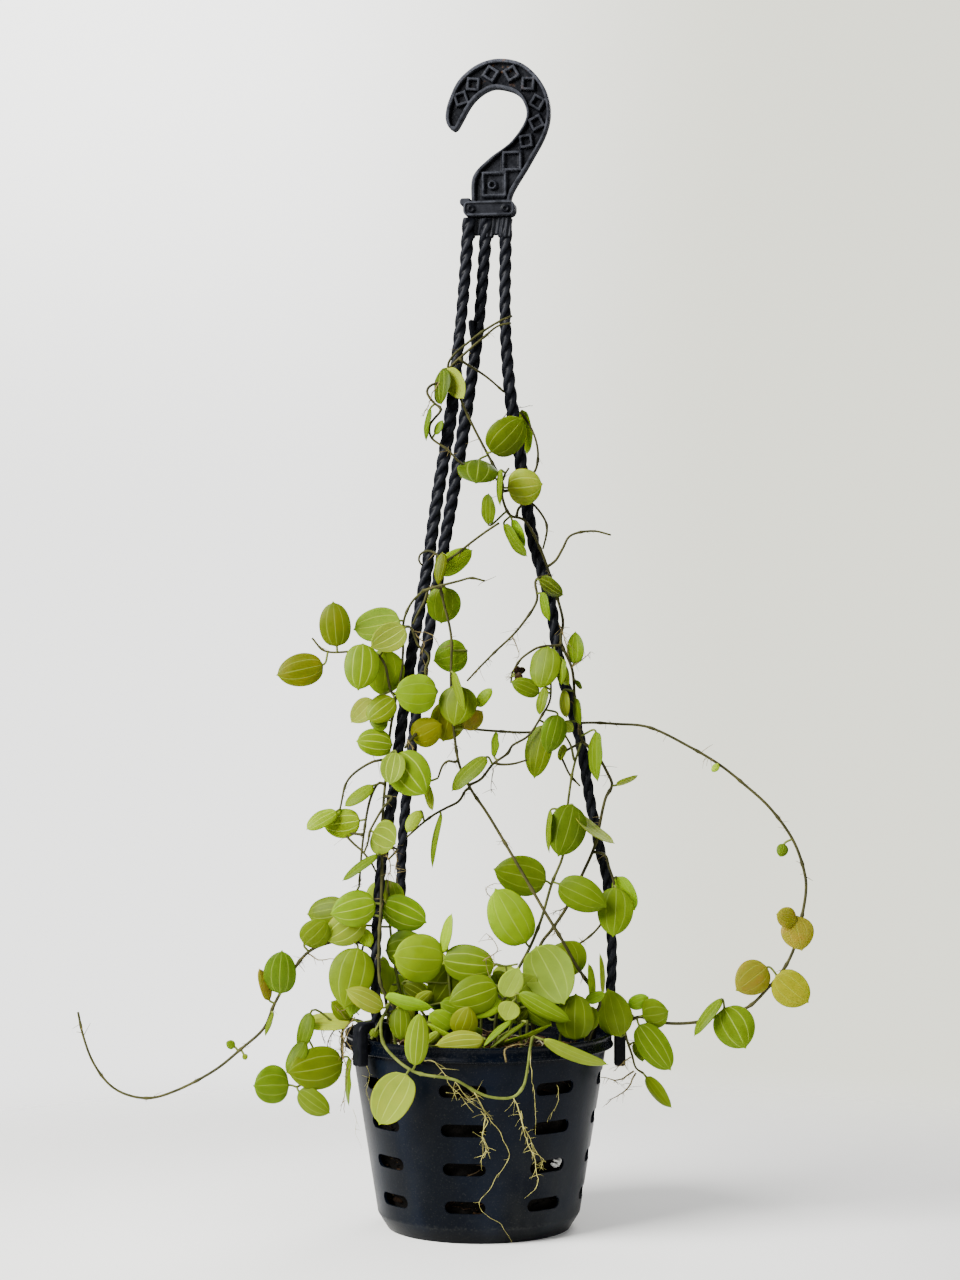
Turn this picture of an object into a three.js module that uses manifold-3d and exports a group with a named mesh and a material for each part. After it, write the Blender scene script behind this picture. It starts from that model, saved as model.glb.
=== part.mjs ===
// A watermelon dischidia in a slotted nursery pot, which hangs from a moulded hook by three strands.
// Millimetres, +Z up. The origin is the middle of the pot's base, and the front faces -Y.
import * as THREE from "three";
import { mergeVertices } from "three/addons/utils/BufferGeometryUtils.js";
import Module from "manifold-3d";

const wasm = await Module();
wasm.setup();

// The pot.
const POT_HEIGHT = 97.5;
const RIM_RADIUS = 67;
const RIM_BAND = 7.1;
const BODY_TOP_RADIUS = 63.5;
const BODY_FOOT_RADIUS = 50.5;
const FOOT_HEIGHT = 8;
const BASE_RADIUS = 45.5;
const WALL = 1.6;
const RIM_WALL = 1.8;
const FLOOR = 2;
const POT_SIDES = 24;
const SLOT_COLUMNS = 8;
const SLOT_FIRST_AZIMUTH = -7.5;
const SLOT_ROW_HEIGHTS = [75.8, 56.6, 37.4, 18.6];
const SLOT_TOP_WIDTH = 23.2;
const SLOT_FOOT_WIDTH = 19.8;
const SLOT_HEIGHT = 6.3;
const DRAIN_HOLES = 8;
const DRAIN_RADIUS = 3.5;
const DRAIN_CIRCLE = 28;

// The potting mix. Each stem stands in a plain hole in it.
const GAP = 0.3;
const MIX_EDGE_HEIGHT = 86.5;
const MIX_CROWN_HEIGHT = 89.5;
const HOLE_RADIUS = 1.7;
const HOLE_SIDES = 6;
const ROOT_HEIGHT = 79;
const HOLE_FLOOR = 78;
const STEM_CLEARS_MIX = 92;

// The hanger.
const HOOK_THICKNESS = 6.5;
const HOOK_RIM_WIDTH = 2.4;
const HOOK_WEB_DEPTH = 1.6;
const HOOK_TURN = -9;
const HANGER_MIDDLE = 5;
const CLASP_LOW = 504;
const CLASP_HIGH = 511.5;
const CLASP_LEFT = -7.5;
const CLASP_RIGHT = 18.5;
const CLASP_THICKNESS = 9.5;
const HEADER_LOW = 493.5;
const HEADER_LEFT = -7.5;
const HEADER_RIGHT = 16.5;
const HEADER_THICKNESS = 8;
const STRAND_TOP = 493;
const STRAND_STEP = 4;
const STRAND_TWIST_PITCH = 24;
const CLIP_WIDTH = 7;
const CLIP_LEG_THICKNESS = 5.5;
const CLIP_TOP = 106.5;
const CLIP_BRIDGE = 4.5;
const CLIP_OUTER_FOOT = 80.5;
const CLIP_INNER_FOOT = 93;
const CLIP_INNER_RADIUS = 54.5;
const CLIP_INNER_THICKNESS = 4;

// The plant.
const STEM_RADIUS = 0.95;
const SIDE_STEM_RADIUS = 0.8;
const STEM_SIDES = 4;
const STEM_STEP = 11;
const PETIOLE_RADIUS = 0.5;
const SHORTEST_PETIOLE = 3;
const BLADE_HALF_THICKNESS = 0.72;
const BLADE_ARCH = 0.05;
const BLADE_CUP = 0.15;
const SMALLEST_EDGE = 0.05;
// How far along a blade each of its cross-sections stands, and its share of the full width.
const BLADE_SECTIONS = [
  [0.14, 0.64],
  [0.4, 1],
  [0.72, 0.76],
];
// A narrow leaf has fewer of them.
const NARROW_LEAF = 11.6;
const NARROW_BLADE_SECTIONS = [
  [0.24, 0.9],
  [0.62, 0.92],
];

// The eye that the places below are seen from stands in front of the pot.
const EYE_DISTANCE = 1350;
const EYE_HEIGHT = 275;

const RIGHT_ANGLE = Math.PI / 2;

// A place by how far right and how high it looks from the eye, measured at the pot's axis, and by its depth
// behind the axis.
function seen([across, up, depth]) {
  const reach = (EYE_DISTANCE + depth) / EYE_DISTANCE;
  return new THREE.Vector3(across * reach, depth, EYE_HEIGHT + (up - EYE_HEIGHT) * reach);
}

function radians(degrees) {
  return (degrees * Math.PI) / 180;
}

// A closed surface over rows of points, each row turning right-handed about the way ahead. A row of one
// point is a pole. On the sides named in turned, each square is split along its other diagonal.
function skin(rows, turned = []) {
  const positions = [];
  const starts = [];
  for (const row of rows) {
    starts.push(positions.length / 3);
    for (const point of row) {
      positions.push(point.x, point.y, point.z);
    }
  }
  const triangles = [];
  const count = Math.max(...rows.map((row) => row.length));
  const at = (row, side) => starts[row] + (rows[row].length === 1 ? 0 : side % count);
  for (let row = 0; row + 1 < rows.length; row++) {
    for (let side = 0; side < count; side++) {
      const [near, nearNext] = [at(row, side), at(row, side + 1)];
      const [far, farNext] = [at(row + 1, side), at(row + 1, side + 1)];
      if (far === farNext) {
        triangles.push(near, nearNext, far);
      } else if (near === nearNext) {
        triangles.push(near, farNext, far);
      } else if (turned.includes(side)) {
        triangles.push(near, nearNext, far, nearNext, farNext, far);
      } else {
        triangles.push(near, nearNext, farNext, near, farNext, far);
      }
    }
  }
  const last = rows.length - 1;
  for (let side = 1; side + 1 < count; side++) {
    if (rows[0].length > 1) {
      triangles.push(at(0, 0), at(0, side + 1), at(0, side));
    }
    if (rows[last].length > 1) {
      triangles.push(at(last, 0), at(last, side), at(last, side + 1));
    }
  }
  const geometry = new THREE.BufferGeometry();
  geometry.setAttribute("position", new THREE.Float32BufferAttribute(positions, 3));
  geometry.setIndex(triangles);
  return geometry;
}

function solidOf(geometry) {
  const bare = geometry.clone();
  bare.deleteAttribute("normal");
  bare.deleteAttribute("uv");
  const merged = mergeVertices(bare, 1e-4);
  return new wasm.Manifold(
    new wasm.Mesh({
      numProp: 3,
      vertProperties: merged.attributes.position.array,
      triVerts: new Uint32Array(merged.index.array),
    }),
  );
}

function joined(solids) {
  return solids.reduce((whole, piece) => whole.add(piece));
}

function meshOf(name, solid, material) {
  const made = solid.getMesh();
  const geometry = new THREE.BufferGeometry();
  geometry.setAttribute("position", new THREE.BufferAttribute(made.vertProperties, 3));
  geometry.setIndex(new THREE.BufferAttribute(made.triVerts, 1));
  geometry.computeVertexNormals();
  const mesh = new THREE.Mesh(geometry, material);
  mesh.name = name;
  return mesh;
}

// A tapering bar along points, with a regular section of so many sides, turned about the way as it goes.
// A twisted bar has its squares split the way that the twist leans.
function bar(points, radiusAt, sides, twistPerStep = 0) {
  const rows = [];
  const across = new THREE.Vector3(1, 0.2, 0);
  points.forEach((point, index) => {
    const before = points[Math.max(index - 1, 0)];
    const after = points[Math.min(index + 1, points.length - 1)];
    const ahead = after.clone().sub(before).normalize();
    across.addScaledVector(ahead, -across.dot(ahead)).normalize();
    const third = ahead.clone().cross(across);
    const radius = radiusAt(index / (points.length - 1));
    const row = [];
    for (let side = 0; side < sides; side++) {
      const angle = (side * 2 * Math.PI) / sides + index * twistPerStep;
      const corner = point.clone();
      corner.addScaledVector(across, radius * Math.cos(angle));
      corner.addScaledVector(third, radius * Math.sin(angle));
      row.push(corner);
    }
    rows.push(row);
  });
  const leaning = twistPerStep > 0 ? [...rows[0].keys()] : [];
  return skin(rows, leaning);
}

// Even points along a smooth curve through the given ones.
function along(places, step) {
  const curve = new THREE.CatmullRomCurve3(places, false, "centripetal");
  return curve.getSpacedPoints(Math.max(2, Math.round(curve.getLength() / step)));
}

function nearest(place, candidates) {
  const distances = candidates.map((candidate) => candidate.distanceToSquared(place));
  return candidates[distances.indexOf(Math.min(...distances))];
}

// A leaf with its petiole: one bar with a four-cornered section that widens to a thin arched blade. The
// petiole leaves the stem at its nearest point. The upper face looks at the eye, turned by roll about the
// leaf's own length.
function leaf(stemPoints, [base, tip, width, roll]) {
  const foot = seen(base);
  const end = seen(tip);
  const ahead = end.clone().sub(foot).normalize();
  const root = nearest(foot, stemPoints);
  foot.addScaledVector(ahead, Math.max(SHORTEST_PETIOLE - root.distanceTo(foot), 0));
  const length = end.distanceTo(foot);
  const face = new THREE.Vector3(0, -1, 0);
  face.addScaledVector(ahead, -face.dot(ahead)).normalize();
  face.applyAxisAngle(ahead, radians(roll));
  const side = face.clone().cross(ahead);

  const section = (centre, turn, halfWidth, halfThickness, cup) => {
    const wide = side.clone().applyQuaternion(turn);
    const up = face.clone().applyQuaternion(turn);
    return [
      centre.clone().addScaledVector(wide, halfWidth).addScaledVector(up, -cup),
      centre.clone().addScaledVector(up, halfThickness),
      centre.clone().addScaledVector(wide, -halfWidth).addScaledVector(up, -cup),
      centre.clone().addScaledVector(up, -halfThickness),
    ];
  };

  const still = new THREE.Quaternion();
  const petiole = foot.clone().sub(root).normalize();
  const whole = new THREE.Quaternion().setFromUnitVectors(ahead, petiole);
  const half = still.clone().slerp(whole, 0.5);
  const rows = [
    section(root, whole, PETIOLE_RADIUS, PETIOLE_RADIUS, 0),
    section(foot, half, PETIOLE_RADIUS, PETIOLE_RADIUS, 0),
  ];
  for (const [share, widthShare] of width < NARROW_LEAF ? NARROW_BLADE_SECTIONS : BLADE_SECTIONS) {
    const centre = foot.clone().lerp(end, share);
    centre.addScaledVector(face, BLADE_ARCH * length * 4 * share * (1 - share));
    const halfWidth = (widthShare * width) / 2;
    rows.push(section(centre, still, halfWidth, BLADE_HALF_THICKNESS, BLADE_CUP * halfWidth));
  }
  rows.push([end]);
  return skin(rows, [2, 3]);
}

// A leafy stem from its root in the mix, with its side stems and leaves, in one piece.
function plantSolid({ root, stems, leaves }) {
  const [rootX, rootY] = root;
  const rooted = [
    new THREE.Vector3(rootX, rootY, ROOT_HEIGHT),
    new THREE.Vector3(rootX, rootY, STEM_CLEARS_MIX),
  ];
  const solids = [];
  const stemPoints = [];
  stems.forEach((places, index) => {
    const route = places.map(seen);
    const start = index === 0 ? rooted : [nearest(route[0], stemPoints).clone()];
    const points = along([...start, ...route], STEM_STEP);
    const radius = index === 0 ? STEM_RADIUS : SIDE_STEM_RADIUS;
    solids.push(solidOf(bar(points, (share) => radius * (1 - 0.2 * share), STEM_SIDES)));
    const middles = points.slice(1).map((point, step) => point.clone().lerp(points[step], 0.5));
    stemPoints.push(...middles.filter((middle) => Math.hypot(middle.x - rootX, middle.y - rootY) > 1));
    stemPoints.push(points.at(-1));
  });
  for (const data of leaves) {
    solids.push(solidOf(leaf(stemPoints, data)));
  }
  return joined(solids).simplify(SMALLEST_EDGE);
}

// Each plant is a root (x, y), its stems as routes of seen places (across, up, depth), of which every one
// after the first grows from the nearest point of those before it, and its leaves as [base, tip, full
// width, roll in degrees].
const PLANTS = {
  climbing_stem_right: {
    root: [26, -34],
    stems: [
      [
        [30, 138, -34],
        [37, 148.5, -26],
        [44.5, 160, -14],
        [51.5, 175, -9],
        [58, 190, -6.5],
        [62, 208.5, -6],
        [63.5, 214, -6],
        [66.5, 220, -6],
        [64, 226.5, -6.5],
        [58, 236.5, -7],
        [51.5, 242.5, -7],
        [50, 251, -6.5],
        [48, 262.5, -6.5],
        [46.5, 278, -6.5],
        [41, 292, -6.5],
        [42, 301.5, -6.5],
        [39.5, 312.5, -6.5],
        [35.5, 325, -6],
        [30.5, 338.5, -6],
        [22.5, 352.5, -6],
        [15.5, 355, -7],
        [11.5, 365, -9],
        [12, 370, -9.5],
        [4.5, 385, -11],
        [-3.5, 400.5, -13],
        [-9, 412.5, -14],
        [-12.5, 421, -13.5],
        [-15.5, 429.5, -10.5],
        [-13.5, 434, -11.5],
        [-4.5, 442, -11],
        [1.5, 446.5, -10],
        [10.5, 452, -8],
        [16.5, 454.5, -6],
      ],
      [
        [-15, 428, -12],
        [-4, 438.5, -13.5],
        [2, 443.5, -12.5],
        [9.5, 449.5, -10],
        [16, 451, -8],
      ],
      [
        [-17, 422, -13.5],
        [-24.5, 419.5, -14.5],
        [-26, 416.5, -15],
        [-22.5, 411, -15.5],
        [-19, 408, -16],
        [-24.5, 400, -16.5],
        [-24, 394, -17],
        [-15.5, 387.5, -18],
        [-9, 381, -17.5],
        [5.5, 375, -13],
        [12, 370.5, -10],
      ],
      [
        [14, 367, -8.5],
        [22, 371, -7],
        [28, 377, -5],
        [29.5, 384, -3],
        [29, 390, -1],
        [27, 396.5, 2],
        [24, 402, 5],
        [21, 406, 7],
      ],
      [
        [20, 358.5, -6.5],
        [25, 361.5, -6.5],
        [33, 352.5, -6.5],
        [34, 347.5, -6.5],
        [32, 338, -6],
      ],
      [
        [35.5, 330, -7.5],
        [38.5, 332.5, -9],
        [42, 338.5, -9],
        [45.5, 344.5, -9],
        [57, 347, -9],
        [66, 345, -9],
      ],
      [
        [28.5, 322.5, -8],
        [29, 312.5, -9],
        [22, 301, -10],
        [16.5, 294.5, -11],
        [9, 287.5, -13],
        [0.5, 279, -15],
        [-6, 272, -16],
      ],
      [
        [63, 185, -9],
        [65, 179, -10],
        [67.5, 170, -9.5],
        [64, 158, -11],
        [61, 150.5, -13],
        [53, 142.5, -19],
        [42.5, 137, -23],
      ],
    ],
    leaves: [
      [[-18.5, 427.5, -13], [-19, 410, -18], 16, 58],
      [[-15.5, 428, -15], [-7.5, 413, -21], 9, 215],
      [[-24.5, 408, -17], [-27, 392, -18], 9, 74],
      [[-23, 394, -18], [-18, 402.5, -20], 7, 55],
      [[6, 386.5, -14], [22, 403.5, -17], 18.5, 15],
      [[21.5, 408, 8], [24, 385, 11], 12, 50],
      [[0, 382.5, -13], [-1.5, 371, -27], 20.5, 0],
      [[13.5, 368.5, -11], [32, 370.5, -14], 18.5, 10],
      [[10.5, 377.5, -19], [10, 359.5, -21], 13, 78],
      [[4.5, 350.5, -10], [4.5, 366, -14], 12, 55],
      [[12.5, 350, -11], [24, 334, -16], 12, 65],
      [[16, 353.5, -8], [23, 339, -10], 12, 68],
      [[29, 323.5, -9], [42, 314.5, -13], 12, 50],
      [[31, 316.5, -10], [35, 302, -15], 10, 62],
      [[38.5, 284, -10], [44.5, 269.5, -14], 10, 50],
      [[47.5, 279, -6.5], [48, 297, -7], 15, 56],
      [[47.5, 273, -8], [51.5, 268, -10], 5, 62],
      [[48, 263.5, -9], [50.5, 250, -13], 9, 64],
      [[42, 267, -9], [43.5, 253.5, -13], 10, 60],
      [[43, 251, -9], [47, 246.5, -11], 6, 200],
      [[42, 240, -8], [40.5, 232, -11], 7, 55],
      [[58.5, 246.5, -15], [58.5, 221.5, -19], 14, 62],
      [[69, 220, -8], [79.5, 225, -11], 9, 68],
      [[68.5, 169, -12], [67, 144, -18], 18, 0],
      [[69, 174, -7], [78, 157, -6], 12, 25],
      [[28.5, 139, -37], [43, 110, -46], 25, 185],
      [[43, 142, -24], [47, 124, -24], 19, 10],
    ],
  },
  diagonal_stem: {
    root: [52, -20],
    stems: [
      [
        [57, 104, -22],
        [60.5, 111, -24],
        [54.5, 121, -27],
        [48.5, 130, -30],
        [41.5, 142.5, -32.5],
        [33, 156.5, -32],
        [27.5, 166, -30],
        [16.5, 185, -27],
        [4, 206, -23],
        [-3.5, 217, -22],
        [-9.5, 229, -22],
        [-12, 242.5, -22],
        [-14, 270.5, -22.5],
        [-14, 295, -23],
        [-18, 312.5, -24],
        [-19.5, 320, -25],
        [-19.5, 328, -24],
        [-8, 338, -20],
        [2.5, 346, -16.5],
        [10, 351, -14.5],
      ],
      [
        [1, 223, -23.5],
        [7, 230.5, -22.5],
        [14.5, 236, -21.5],
        [16.5, 239.5, -20.5],
        [24.5, 244.5, -18.5],
        [31, 254, -17.5],
        [35.5, 262.5, -16],
        [36, 275, -14.5],
        [37, 281, -13.5],
      ],
      [
        [9.5, 230.5, -22],
        [16.5, 230.5, -21],
        [24, 232.5, -20.5],
      ],
      [
        [-6.5, 217.5, -22.5],
        [-10, 212, -23.5],
        [-16.5, 208.5, -25],
        [-22, 205.5, -26],
        [-27.5, 201.5, -28],
        [-36, 194, -33],
      ],
      [
        [-21, 333.5, -23.5],
        [-24.5, 335, -22.5],
        [-28, 334, -21.5],
        [-30.5, 331, -19.5],
      ],
      [
        [-12, 231.5, -24],
        [-15.5, 232, -25],
        [-18, 230, -25.5],
        [-20.5, 223.5, -25.5],
      ],
    ],
    leaves: [
      [[-19.5, 326, -26.5], [-3, 337.5, -28], 11.5, 20],
      [[-17, 319, -20.5], [-19, 300.5, -18], 17, 0],
      [[-6, 287, -19], [-23, 282, -19], 16.5, 0],
      [[-14, 262.5, -20.5], [-18, 241.5, -20], 17.5, 0],
      [[-9.5, 269.5, -25.5], [-12.5, 249.5, -28], 19.5, 10],
      [[-13, 276, -28], [-7, 257, -37], 9, 62],
      [[-1, 259.5, -23.5], [6.5, 268.5, -24.5], 6.5, 10],
      [[-7.5, 248.5, -22], [2, 257, -22.5], 10, 20],
      [[-29.5, 207, -32], [-36, 196, -37], 7, 20],
      [[-19, 205.5, -28], [-24, 178.5, -31], 14, 80],
      [[3.5, 234, -27], [-14, 217, -30], 13, 52],
      [[7.5, 234, -21], [8, 247, -19], 12, 74],
      [[-26, 220, -28], [-23.5, 207, -30], 8, 55],
      [[34.5, 289, -15], [30.5, 268, -19], 16, 20],
      [[30, 266, -17], [16, 272, -18.5], 9.5, 15],
      [[32.5, 268.5, -19], [30, 255, -23], 10, 60],
      [[39.5, 255, -13], [34.5, 235.5, -11], 13, -10],
      [[33, 250, -20], [27.5, 223, -24], 17, 40],
      [[41, 283, -16], [41, 270, -19], 10, 60],
    ],
  },
  upright_stem: {
    root: [8, -35],
    stems: [
      [
        [9, 106, -35.5],
        [13.5, 114.5, -34],
        [18, 125, -31],
        [25.5, 139, -26.5],
        [31, 152.5, -22.5],
        [36.5, 171, -18],
        [42, 185, -15],
        [44.5, 211, -13],
        [46.5, 225, -12.5],
        [48, 231.5, -12.5],
        [51, 241, -12.5],
      ],
      [
        [47.5, 233, -13],
        [46, 239.5, -13],
        [43, 245, -13],
      ],
    ],
    leaves: [
      [[33.5, 172, -20.5], [7, 178, -21], 20, 0],
      [[40, 170.5, -19.5], [64, 159, -23], 17, 0],
      [[23.5, 141, -28.5], [8, 168.5, -32], 22, 10],
      [[35.5, 207, -16], [34.5, 186, -18], 15, 83],
      [[47, 210, -15.5], [39.5, 184, -23], 19, -5],
      [[47.5, 205.5, -14.5], [68, 190.5, -15], 14, 112],
    ],
  },
  looping_stem: {
    root: [55, -8],
    stems: [
      [
        [58, 98, -9.5],
        [62, 101.5, -10.5],
        [67, 102.5, -11.5],
        [72, 100, -12],
        [79.5, 104, -12],
        [93, 101, -12],
        [109, 101.5, -12],
        [122, 105.5, -12],
        [134.5, 109, -12],
        [144.5, 118.5, -12],
        [152, 127.5, -12],
        [157, 137, -12],
        [161.5, 154.5, -11],
        [163.5, 167.5, -10],
        [163, 175, -9],
        [157.5, 191.5, -7],
        [145.5, 208.5, -5],
        [133, 220, -3],
        [120.5, 230, -1],
        [105.5, 239, 2],
        [84.5, 249, 7],
        [69, 250.5, 9],
        [51.5, 251, 9],
        [27.5, 246.5, 3],
        [8, 247, -5],
        [-3.5, 248, -10],
        [-14.5, 249, -13],
        [-25, 250.5, -19],
        [-32, 245, -27],
        [-37, 238.5, -31.5],
      ],
      [
        [74, 92.5, -12.5],
        [76.5, 85, -12.5],
        [78.5, 78.5, -12.5],
        [82, 76, -12.5],
      ],
    ],
    leaves: [
      [[70.5, 94.5, -15], [64.5, 118, -19], 17.5, 0],
      [[80, 104.5, -13], [95, 107, -17], 17, 20],
      [[80, 100, -14], [96, 77, -18], 15.5, 5],
      [[78, 91, -9], [82, 81.5, -7], 7, 45],
      [[82.5, 75.5, -13.5], [96, 58, -17], 12, 50],
      [[121, 113, -14.5], [107, 94.5, -18], 10, 62],
      [[122.5, 108.5, -14.5], [133.5, 88, -18], 20.5, 0],
      [[144, 129, -13], [128.5, 117, -16], 17.5, 0],
      [[148, 125, -13.5], [165, 111, -17], 18, 5],
      [[157.5, 154, -12], [161.5, 137, -16], 16.5, 0],
      [[158.5, 152, -13.5], [148.5, 155.5, -17.5], 10.5, 10],
      [[152.5, 190.5, -7.5], [150.5, 184, -9.5], 6, 0],
      [[-32.5, 247, -22], [-27.5, 251, -24.5], 7, 10],
      [[-33.5, 243, -25.5], [-18.5, 250.5, -25], 15, 10],
    ],
  },
  climbing_stem_left: {
    root: [-31, -41],
    stems: [
      [
        [-42, 108, -44.5],
        [-49, 120, -45.5],
        [-50, 140, -43],
        [-49, 160, -40.5],
        [-48.5, 180, -38],
        [-48, 207, -34],
        [-46.5, 225, -32],
        [-44.5, 246, -29.5],
        [-42, 261, -28.5],
        [-39, 275, -27.5],
        [-38, 286.5, -27],
        [-37.5, 302.5, -26],
        [-33.5, 311.5, -25],
        [-28, 317, -25],
      ],
      [
        [-34.5, 299, -27],
        [-30.5, 290, -27.5],
        [-25, 284, -27],
        [-27, 276.5, -28],
        [-23, 270, -27],
      ],
      [
        [-43.5, 266, -30],
        [-47, 280, -32],
        [-50, 284.5, -32],
        [-55.5, 287, -32],
        [-77, 287, -32],
        [-83.5, 293.5, -32],
      ],
      [
        [-22, 319, -28],
        [-16, 320.5, -29],
        [-10, 322, -29],
        [-4, 323.5, -29],
        [3, 322, -29],
      ],
      [
        [-49, 232.5, -32],
        [-54.5, 231, -32.5],
        [-65.5, 222.5, -33],
        [-69.5, 208, -35],
      ],
      [
        [-50, 221, -33.5],
        [-54, 214, -34.5],
        [-58, 192.5, -37.5],
        [-60, 169, -40],
      ],
    ],
    leaves: [
      [[-71, 288.5, -32.5], [-73, 312, -34], 15.5, 0],
      [[-78, 280, -33.5], [-101.5, 275, -38], 16.5, 10],
      [[-38, 302.5, -27.5], [-63, 297.5, -30], 17.5, 195],
      [[-37, 298.5, -29.5], [-54.5, 288.5, -36], 14.5, 190],
      [[-58, 290.5, -34], [-60.5, 267, -40], 17.5, 0],
      [[-47, 287.5, -28.5], [-48.5, 264, -25.5], 19.5, 0],
      [[-21, 266, -29], [-42.5, 266, -33.5], 19.5, 0],
      [[-53, 262.5, -29], [-64, 251, -30.5], 12, 200],
      [[-42.5, 263, -32], [-56, 252.5, -36], 13, 10],
      [[-44, 252.5, -30.5], [-55, 251.5, -31], 11, 30],
      [[-43, 240, -31.5], [-61.5, 242, -37], 14, 15],
      [[-41.5, 236, -39], [-44.5, 220, -43], 12.5, 190],
      [[-41, 235.5, -36], [-26.5, 215, -40], 21, 0],
      [[-52, 220.5, -35], [-67.5, 209.5, -38], 9, 45],
      [[-71, 207, -37], [-86.5, 198, -42], 9.5, 30],
      [[-57.5, 202.5, -36], [-78.5, 200, -34.5], 14.5, 10],
      [[-55, 197.5, -37.5], [-41.5, 190.5, -41], 18, 190],
      [[-51, 185, -40.5], [-68.5, 172, -43], 9, 62],
      [[-51, 161, -41], [-74.5, 155.5, -44], 18, 0],
      [[-58, 155, -38.5], [-76.5, 142, -38.5], 17, 0],
      [[-67, 159, -37], [-86.5, 155.5, -31], 14, 20],
    ],
  },
  trailing_stem: {
    root: [-43, -23],
    stems: [
      [
        [-49, 125, -27],
        [-54, 138.5, -30],
        [-64.5, 142, -34],
        [-75.5, 141, -36],
        [-86.5, 135.5, -38],
        [-102, 111, -40],
        [-107.5, 98.5, -40],
        [-119, 88, -40],
        [-132, 77.5, -40],
        [-152, 67, -40],
        [-164.5, 63.5, -40],
        [-175.5, 65, -40],
        [-184.5, 70, -40],
        [-193, 81.5, -40],
        [-198, 95, -40],
        [-200.5, 106.5, -40],
      ],
    ],
    leaves: [
      [[-87.5, 140.5, -39], [-76, 152, -42], 14.5, 10],
      [[-99.5, 115, -42], [-98.5, 137.5, -44], 16, 0],
      [[-105, 112.5, -41], [-110, 128.5, -42], 8, 50],
      [[-103, 106, -43], [-107, 94.5, -46], 7, 72],
      [[-60.5, 138.5, -37], [-67.5, 108, -46], 22, 0],
      [[-59.5, 132.5, -34.5], [-64.5, 103.5, -40], 14, 20],
    ],
  },
  left_rim_stem: {
    root: [-49, -12],
    stems: [
      [
        [-56, 100, -17],
        [-62.5, 102.5, -20.5],
        [-67.5, 99, -24],
        [-68.5, 92.5, -26],
        [-68.5, 87.5, -27],
        [-69, 82, -29],
        [-80, 75, -32],
        [-91, 69, -34],
      ],
    ],
    leaves: [
      [[-64.5, 101.5, -25], [-90, 100.5, -29], 13, 54],
      [[-84.5, 106, -32], [-90, 86.5, -34], 9, 25],
      [[-87, 91.5, -35], [-96.5, 76, -37.5], 9, 20],
      [[-68, 81.5, -31.5], [-96, 76, -40], 21, 0],
      [[-95, 70, -35], [-113, 69.5, -39], 19, 0],
      [[-91, 67.5, -35.5], [-74.5, 55.5, -38], 12.5, 10],
      [[-65, 83.5, -30.5], [-65.5, 59.5, -34], 15, 78],
    ],
  },
  front_swag: {
    root: [-40, -40],
    stems: [
      [
        [-44.5, 103, -44],
        [-47, 105, -49],
        [-49, 101, -54],
        [-48, 91.5, -56],
        [-43.5, 85, -59],
        [-32, 76.5, -65],
        [-12, 72.5, -69],
        [-2, 67, -68.5],
        [5.5, 64, -68],
        [17, 64, -67],
        [22, 69, -67.5],
        [24.5, 80, -68],
        [25.5, 88, -69],
        [26.5, 93, -67],
        [27.5, 94.5, -62],
      ],
    ],
    leaves: [
      [[-32, 80, -66.5], [-29.5, 106.5, -73], 11.5, 0],
      [[-36, 76, -65], [-50, 50, -62], 19.5, 180],
      [[32.5, 92.5, -64], [65, 79.5, -55], 9, 35],
    ],
  },
  crown_stem_left: {
    root: [-34, -20],
    stems: [
      [
        [-42, 130, -26],
        [-44.5, 150, -27.5],
        [-45, 166, -28],
      ],
    ],
    leaves: [
      [[-46, 172.5, -27], [-48, 152.5, -21], 19, 0],
      [[-48, 160.5, -30], [-26, 151, -32], 17.5, 10],
      [[-46.5, 137, -29.5], [-24.5, 139, -32], 19, 0],
    ],
  },
  crown_stem_front_left: {
    root: [-23, -38],
    stems: [
      [
        [-28, 106, -42],
        [-36, 111, -46],
        [-44, 112, -49],
      ],
    ],
    leaves: [
      [[-46.5, 114, -50], [-23, 108.5, -57], 12, 48],
      [[-48, 108.5, -51], [-66.5, 118, -55], 11.5, 30],
      [[-39.5, 110, -47], [-39, 92, -50], 11, 0],
    ],
  },
  crown_stem_middle: {
    root: [-11, -29],
    stems: [
      [
        [-14, 112, -32],
        [-15.5, 130, -34],
        [-16, 142, -35],
      ],
    ],
    leaves: [
      [[-18, 132.5, -37], [-43, 134.5, -43], 24, 0],
      [[-18.5, 136.5, -36], [-14, 156, -38], 11, 62],
      [[-17.5, 132.5, -38], [8.5, 129.5, -43], 18.5, 0],
      [[-11, 129, -31], [-23, 110, -31], 19, 0],
    ],
  },
  crown_stem_centre: {
    root: [-5, -44],
    stems: [
      [
        [-4, 100, -46],
        [0, 112, -45],
        [6, 121, -43],
      ],
    ],
    leaves: [
      [[-10, 95, -49.5], [-5, 109.5, -54], 13.5, 0],
      [[-14, 98.5, -47.5], [-25, 106, -50], 12, 0],
      [[-10.5, 94.5, -45], [2, 97.5, -47], 7, 20],
      [[2.5, 92.5, -54], [-22, 90, -58], 11, 30],
      [[9, 119, -47], [-15.5, 111, -49], 19, 5],
    ],
  },
  crown_stem_right: {
    root: [21, -44],
    stems: [
      [
        [19.5, 104, -45],
        [18, 116, -45],
      ],
      [
        [17, 98, -47],
        [10, 94, -51],
      ],
    ],
    leaves: [
      [[8.5, 89.5, -53], [36.5, 100.5, -55], 9, 70],
      [[19.5, 116, -46.5], [45.5, 101.5, -52], 10, 20],
      [[12.5, 114.5, -46], [20, 129, -47], 12, 190],
      [[17, 112, -47], [13, 102, -49.5], 11, 190],
    ],
  },
  crown_stem_far_right: {
    root: [39, -34],
    stems: [
      [
        [42, 98, -38],
        [46, 100, -40],
      ],
    ],
    leaves: [[[48, 92.5, -41], [48.5, 116, -43], 18.5, 0]],
  },
  crown_stem_back_left: {
    root: [-20, 14],
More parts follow.
